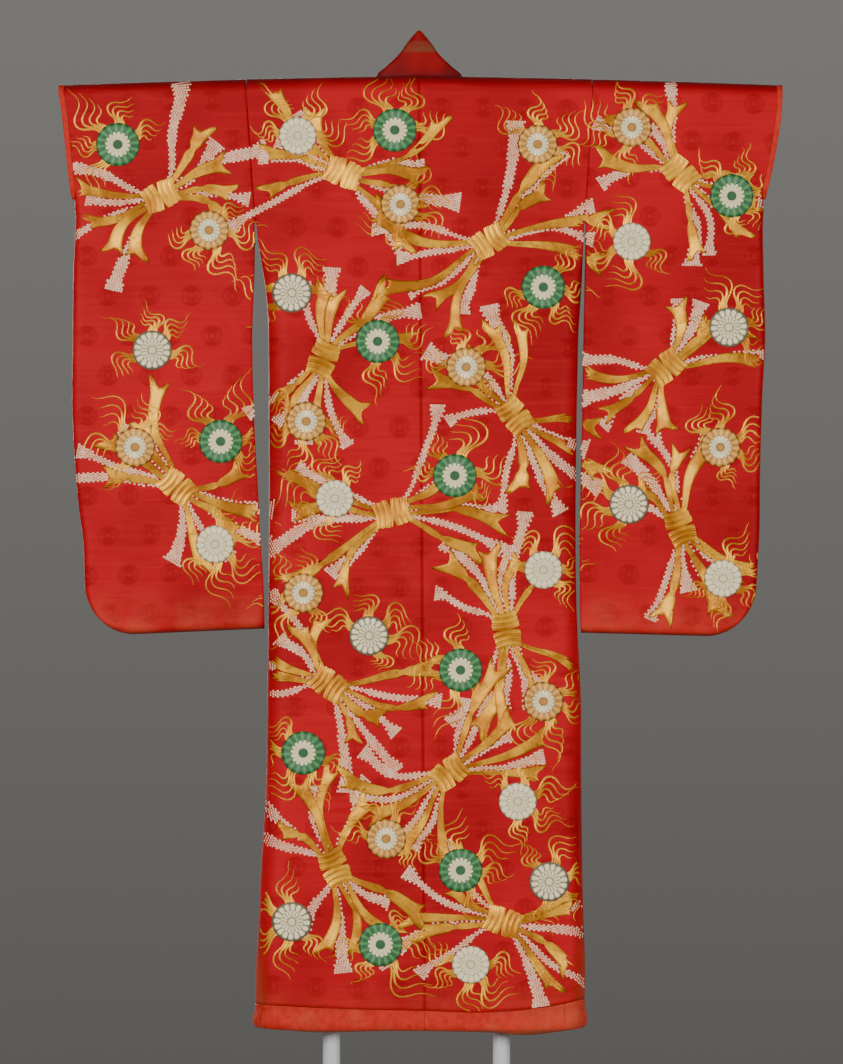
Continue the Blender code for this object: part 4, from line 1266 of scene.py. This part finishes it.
class Trace:
    """A flat curve from a point: its heading turns by bend along its length and sways by wave."""

    def __init__(self, x, z, heading, length, bend, wave, sways=1.0, curl=0.0):
        steps = np.linspace(0.0, 1.0, TRACE_POINTS)
        angle = heading + bend * steps + wave * np.sin(2 * math.pi * sways * steps) + curl * steps ** 4
        stride = length / (len(steps) - 1)
        self.steps = steps
        self.length = length
        self.angle = angle
        self.x = x + np.concatenate(([0.0], np.cumsum(np.cos(angle[:-1])) * stride))
        self.z = z + np.concatenate(([0.0], np.cumsum(np.sin(angle[:-1])) * stride))

    def at(self, along, aside):
        x = np.interp(along, self.steps, self.x)
        z = np.interp(along, self.steps, self.z)
        angle = np.interp(along, self.steps, self.angle)
        return x - aside * np.sin(angle), z + aside * np.cos(angle)


RIBBON_NOTCH = 0.13
RIBBON_ROOT = 0.26
RIBBON_MIDDLE = 0.72
RIBBON_TWIST = 0.55
RIBBON_TWIST_RUN = 0.05
RIBBON_FLARE = 0.62
RIBBON_FLARE_START = 0.74


def ribbon_shape(trace, width, pinch, slant, lift):
    """A ribbon that widens from the knot, may twist narrow at pinch, and flares to a notched slanting end."""

    def shape(across, along):
        edge = abs(2.0 * across - 1.0)
        notch = RIBBON_NOTCH * (1.0 - edge ** 1.6)
        along = np.clip(along * (1.0 + slant * (across - 0.5) - notch), 0.0, 1.0)
        wide = width * mix(RIBBON_ROOT, RIBBON_MIDDLE, smooth(along * 1.15))
        wide = wide * (1.0 - dip(RIBBON_TWIST, along - pinch, RIBBON_TWIST_RUN))
        wide = wide + width * RIBBON_FLARE * smooth((along - RIBBON_FLARE_START) / (1.0 - RIBBON_FLARE_START))
        x, z = trace.at(along, (across - 0.5) * wide)
        return x, z, lift, across, along * trace.length

    return shape


VINE_TIP = 0.0007
VINE_EDGE_LIFT = 0.0002
VINE_RIDGE = 0.0009
LOCKS = 5
LOCK_FAN = 3.7
LOCK_ROOT = 0.92
LOCK_STRANDS = 4
STRAND_ANGLE = 0.125
STRAND_NESTING = 0.19


def vine_shape(trace, width):
    """One tapering strand of a curling vine, ridged along its middle."""

    def shape(across, along):
        wide = width * (1.0 - along) ** 0.8 + VINE_TIP
        x, z = trace.at(along, (across - 0.5) * wide)
        lift = VINE_EDGE_LIFT + VINE_RIDGE * np.sin(across * math.pi)
        return x, z, lift, across, along * trace.length

    return shape


PETALS = 16
SCALLOP = 0.030
ROUND_LIFT = 0.0015
ROUND_DOME = 0.0006


def round_shape(x, z, radius, heading):
    """A slightly domed round with a shallow scallop for each petal."""

    def shape(across, along):
        angle = across * 2 * math.pi
        scallop = 1.0 - SCALLOP * (0.5 - 0.5 * np.cos(PETALS * angle))
        reach = along * radius * scallop
        lift = ROUND_LIFT + ROUND_DOME * (1.0 - along * along)
        round_x = x + reach * np.cos(angle + heading)
        round_z = z + reach * np.sin(angle + heading)
        return round_x, round_z, lift, along * np.cos(angle), along * np.sin(angle)

    return shape


KNOT_TURNS = 6
KNOT_PITCH = 0.0096
KNOT_TURN_WIDTH = 0.0108
KNOT_REACH = 0.050
KNOT_TAPER = 0.003
KNOT_BOW = 0.004
KNOT_LIFT = 0.0014
KNOT_RISE = 0.0020


def knot_shape(x, z, heading, place, reach):
    """One turn of the band that binds a bundle, across the bundle's heading."""
    ahead_x, ahead_z = math.cos(heading), math.sin(heading)
    bow = KNOT_BOW * math.copysign(1, place)

    def shape(across, along):
        off = place + (across - 0.5) * KNOT_TURN_WIDTH + bow * (2 * along - 1) ** 2
        aside = (along - 0.5) * reach
        roundness = np.sin(across * math.pi) * np.sqrt(np.sin(along * math.pi) + 0.001)
        turn_x = x + off * ahead_x - aside * ahead_z
        turn_z = z + off * ahead_z + aside * ahead_x
        return turn_x, turn_z, KNOT_LIFT + KNOT_RISE * roundness, across, along * reach

    return shape


BUNDLE_SEED = 41
STRANDS = 8
STRAND_FAN = 1.75
STRAND_START = 0.020
STRAND_SPREAD = 0.016
STRAND_LEAN = 0.70
STRAND_LIFT = 0.0004
STRAND_LIFT_STEP = 0.00005
RIBBON_SEGMENTS = 26
RIBBON_COLUMNS = 4

ribbons = Stitching()
vines = Stitching()
knots = Stitching()
rounds = {kind: Stitching() for kind in ROUND_RADII}
spots = []


def lay_bundle(bundle, layer):
    """Ribbons that fan out of both ends of a bundle, every other one spotted, and the turns round them."""
    draws = random.Random(BUNDLE_SEED + bundle.seed)
    heading = math.radians(bundle.heading)
    for end in (0, 1):
        out = heading + math.pi * end
        for number in range(STRANDS):
            fan = (number / (STRANDS - 1) - 0.5) * STRAND_FAN + draws.uniform(-0.08, 0.08)
            start_x = bundle.x + STRAND_START * math.cos(out) - STRAND_SPREAD * math.sin(out) * fan
            start_z = bundle.z + STRAND_START * math.sin(out) + STRAND_SPREAD * math.cos(out) * fan
            length = bundle.reach * draws.uniform(0.105, 0.205)
            bend = fan * draws.uniform(0.1, 0.9) + draws.uniform(-0.3, 0.3)
            wave = draws.uniform(-0.35, 0.35)
            trace = Trace(start_x, start_z, out + fan * STRAND_LEAN, length, bend, wave)
            lift = STRAND_LIFT + STRAND_LIFT_STEP * number
            width = draws.uniform(0.024, 0.036)
            pinch = draws.choice((0.45, 0.6, 2.0, 2.0))
            slant = draws.uniform(-0.28, 0.28)
            if number % 2 == end:
                shape = ribbon_shape(trace, width, pinch, slant, lift)
                ribbons.patch(RIBBON_COLUMNS, RIBBON_SEGMENTS, shape, layer)
            else:
                spots.append((trace, draws.choice((3.4, 4.0, 4.8)), layer))
    for turn in range(KNOT_TURNS):
        off = turn - (KNOT_TURNS - 1) / 2
        reach = KNOT_REACH - KNOT_TAPER * abs(off)
        knots.patch(4, 10, knot_shape(bundle.x, bundle.z, heading, off * KNOT_PITCH, reach), layer)


def lay_round(flower, layer):
    """A flower round and the curling locks of vine that spring from its rim."""
    draws = random.Random(round(flower.x * 1000) + 7 * round(flower.z * 1000))
    radius = ROUND_RADII[flower.kind]
    heading = math.radians(flower.heading)
    rounds[flower.kind].patch(36, 6, round_shape(flower.x, flower.z, radius, heading), layer)
    for lock in range(LOCKS):
        fan = (lock / (LOCKS - 1) - 0.5) * LOCK_FAN + draws.uniform(-0.15, 0.15)
        side = draws.choice((-1, 1))
        length = draws.uniform(0.075, 0.120) * (1.15 - 0.16 * abs(fan))
        bend = side * draws.uniform(-0.2, 0.5)
        wave = -side * draws.uniform(0.85, 1.25)
        sways = draws.uniform(1.0, 1.5)
        curl = side * draws.uniform(-0.5, 1.8)
        for strand in range(LOCK_STRANDS):
            out = heading + fan + side * (strand - (LOCK_STRANDS - 1) / 2) * STRAND_ANGLE
            start_x = flower.x + radius * LOCK_ROOT * math.cos(out)
            start_z = flower.z + radius * LOCK_ROOT * math.sin(out)
            begin = heading + fan - 0.15 * wave + side * 0.10 * strand
            nested = length * (1.0 - STRAND_NESTING * strand)
            trace = Trace(start_x, start_z, begin, nested, bend, wave, sways, curl)
            vines.patch(2, 18, vine_shape(trace, draws.uniform(0.0030, 0.0046)), layer)


for layer in (-1, 1):
    for bundle in BUNDLES:
        lay_bundle(bundle, layer)
    for flower in ROUNDS:
        lay_round(flower, layer)


def gold_thread(name, threads, dark):
    """Couched gold thread in so many rows across, with painted shade in its hollows and along its edge, and
    worn by dark.
    """
    recipe = Recipe(name, {"Metallic": 0.55, "Specular IOR Level": 0.3})
    across, along = recipe.uv("stitch")
    spot = recipe.spot()
    broad = recipe.noise(spot, 21.0, 3.0)
    wear = recipe.noise(spot, 85.0, 4.0, 0.65)
    tone = recipe.blend(broad.step(0.38, 0.62), (0.540, 0.185, 0.006), (0.980, 0.460, 0.028))
    thread = (across * threads * (2 * math.pi)).math("SINE")
    # Painted shade: the hollows between the rows of thread are darkened.
    tone = recipe.blend(thread.step(0.2, -0.9) * 0.30, tone, (0.170, 0.060, 0.010))
    tone = recipe.blend(wear.step(0.52, 0.72) * dark, tone, (0.150, 0.066, 0.012))
    # Painted shade: a dark band along the edges of each ribbon, turn and vine.
    edge = abs(across - 0.5).step(0.43, 0.49)
    tone = recipe.blend(edge * 0.75, tone, (0.110, 0.028, 0.006))
    relief = thread * 0.00022 + wear * 0.0003
    return recipe.finish(tone, 0.38, recipe.bump(relief, 0.6))


ribbon_gold = gold_thread("couched_gold_ribbon", 14.0, 0.55)
on_top = [ribbons.piece("gold_ribbons", ribbon_gold, "gold_embroidery", STITCH_THICKNESS)]
on_top.append(knots.piece("gold_knots", gold_thread("couched_gold_knot", 3.0, 0.35), "gold_embroidery"))
vines.piece("gold_vines", gold_thread("couched_gold_vine", 2.0, 0.25), "gold_embroidery")


def chrysanthemum(name, petal, petal_light, inner, line, line_share, metallic):
    """Satin-stitch petals in two rings round a small heart."""
    recipe = Recipe(name, {"Metallic": metallic, "Sheen Weight": 0.1})
    across, along = recipe.uv("stitch")
    spot = recipe.spot()
    radius = (across * across + along * along).math("SQRT")
    turn = along.math("ARCTAN2", across) * (PETALS / (2 * math.pi))
    wear = recipe.noise(spot, 120.0, 3.0, 0.6)

    def petals(shift):
        place = abs((turn + shift).math("FRACT") - 0.5)
        return place, (place * place) * 0.42

    outer_place, outer_end = petals(0.0)
    inner_place, inner_end = petals(0.5)
    tone = recipe.blend(outer_place.step(0.30, 0.05) * 0.8, petal, petal_light)
    lines = outer_place.step(0.5 - line_share, 0.5)
    rim = (radius + outer_end).step(1.01 - line_share * 0.6, 1.02 - line_share * 0.3)
    tone = recipe.blend((lines + rim).math("MINIMUM", 1.0) * 0.85, tone, line)
    inside = (radius + inner_end * 1.3).step(0.62, 0.59)
    inner_tone = recipe.blend(inner_place.step(0.5 - line_share, 0.5) * 0.8, inner, line)
    tone = recipe.blend(inside, tone, inner_tone)
    ring = abs(radius + inner_end * 1.3 - 0.61).step(0.035, 0.015)
    tone = recipe.blend(ring * 0.85, tone, line)
    tone = recipe.blend(radius.step(0.22, 0.19), tone, petal)
    tone = recipe.blend(abs(radius - 0.205).step(0.030, 0.012) * 0.8, tone, line)
    tone = recipe.blend(wear.step(0.62, 0.78) * 0.3, tone, line)
    stitches = (turn * 44.0).math("SINE")
    relief = stitches * 0.00012 - outer_place * 0.0005 * radius.step(0.55, 0.65) + wear * 0.0002
    return recipe.finish(tone, 0.45, recipe.bump(relief, 0.6))


CREAM = (0.800, 0.670, 0.380)
CREAM_LIGHT = (0.900, 0.780, 0.460)
INK = (0.022, 0.017, 0.012)
materials = {
    "green": chrysanthemum("green_round", (0.014, 0.110, 0.024), (0.075, 0.290, 0.078), CREAM,
                           (0.010, 0.060, 0.022), 0.06, 0.0),
    "gold": chrysanthemum("gold_round", (0.520, 0.220, 0.026), (0.820, 0.430, 0.080), CREAM,
                          (0.120, 0.048, 0.012), 0.06, 0.25),
    "white": chrysanthemum("white_round", CREAM, CREAM_LIGHT, CREAM, (0.170, 0.120, 0.080), 0.08, 0.0),
    "outlined": chrysanthemum("outlined_round", CREAM, CREAM_LIGHT, CREAM, INK, 0.24, 0.0),
}
slots = {"green": "green_embroidery", "gold": "gold_embroidery", "white": "white_embroidery",
         "outlined": "white_embroidery"}
for kind, stitching in rounds.items():
    on_top.append(stitching.piece(f"{kind}_rounds", materials[kind], slots[kind], STITCH_THICKNESS))

# The spotted ribbons
# Rows of small square raised spots, in the way of tie-dyed silk, stand a little apart so that the red shows
# between them. They pass under the gold ribbons, the knots and the rounds.

SPOT_PITCH = 0.0046
SPOT_CROWDING = 1.12
SPOT_HALF = 0.0019
SPOT_RISE = 0.0013
STRIP_START = 2.0
STRIP_FLARE = 3.0
STRIP_FLARE_START = 0.80
COVER_SLACK = 0.001


def spotted_silk():
    recipe = Recipe("spotted_silk", {"Sheen Weight": 0.2})
    spot = recipe.spot()
    wear = recipe.noise(spot, 140.0, 3.0, 0.6)
    broad = recipe.noise(spot, 24.0, 2.0)
    tone = recipe.blend(broad.step(0.3, 0.7), (0.850, 0.480, 0.290), (0.960, 0.640, 0.430))
    tone = recipe.blend(wear.step(0.55, 0.80) * 0.5, tone, (0.520, 0.200, 0.120))
    return recipe.finish(tone, 0.6)


cover_tree, _ = surface_tree(item.data for item in on_top)


def covered(point, layer):
    """Whether a ribbon or round lies over a point of the cloth."""
    start = Vector((point.x, layer, point.z))
    distance = cover_tree.ray_cast(start, Vector((0.0, -layer, 0.0)), RAY_LENGTH)[3]
    return distance is not None and distance < abs(layer - point.y) + COVER_SLACK


def spot_places(trace, most, layer):
    """The points, outward directions and headings of a strip's spots, so many abreast before its flare."""
    places = []
    for number in range(int(trace.length / SPOT_PITCH * SPOT_CROWDING)):
        along = min((number + 0.5) * SPOT_PITCH / SPOT_CROWDING / trace.length, 1.0)
        flare = STRIP_FLARE * float(smooth((along - STRIP_FLARE_START) / (1.0 - STRIP_FLARE_START)))
        abreast = max(round(mix(STRIP_START, most, min(along * 1.4, 1.0)) + flare) - number % 2, 1)
        angle = float(np.interp(along, trace.steps, trace.angle))
        for column in range(abreast):
            x, z = trace.at(along, (column - (abreast - 1) / 2) * SPOT_PITCH)
            hit = on_cloth(float(x) * -layer, float(z), layer)
            if hit and not covered(hit[0], layer):
                heading = Vector((math.cos(angle) * -layer, 0.0, math.sin(angle)))
                heading = (heading - hit[1] * heading.dot(hit[1])).normalized()
                places.append((*hit[0], *hit[1], *heading))
    return places


places = np.array([place for strip in spots for place in spot_places(*strip)])
middle, outward, heading = places[:, :3], places[:, 3:6], places[:, 6:]
beside = np.cross(outward, heading)
draws = np.random.default_rng(5)
sizes = draws.uniform(0.88, 1.08, (len(places), 1))
points = [middle + outward * SPOT_RISE]
for along, aside in ((1, 1), (-1, 1), (-1, -1), (1, -1)):
    points.append(middle + (heading * along + beside * aside) * SPOT_HALF * sizes)
points = np.stack(points, axis=1).reshape(-1, 3)
spot_sides = np.array([(0, 1, 2), (0, 2, 3), (0, 3, 4), (0, 4, 1)])
faces = (spot_sides[None, :, :] + 5 * np.arange(len(places))[:, None, None]).reshape(-1, 3)
mesh = bpy.data.meshes.new("spotted_ribbons")
mesh.from_pydata(points.tolist(), [], faces.tolist())
mesh.update()
riding_piece("spotted_ribbons", mesh, spotted_silk())

# The stand
# A round steel bar, two round posts and a flat base plate, all with one coat of pale grey satin paint.


def stand_paint():
    recipe = Recipe("stand_paint", {"Roughness": 0.42})
    spot = recipe.spot()
    speck = recipe.noise(spot, 420.0, 2.0)
    tone = recipe.blend(recipe.noise(spot, 6.0).step(0.3, 0.7), (0.500, 0.500, 0.520), (0.560, 0.555, 0.575))
    return recipe.finish(tone, None, recipe.bump(speck * 0.00006, 0.5))


paint = stand_paint()
for name in ("crossbar", "post_left", "post_right", "base_plate"):
    node = bpy.data.objects[name]
    node.data.materials.clear()
    node.data.materials.append(paint)
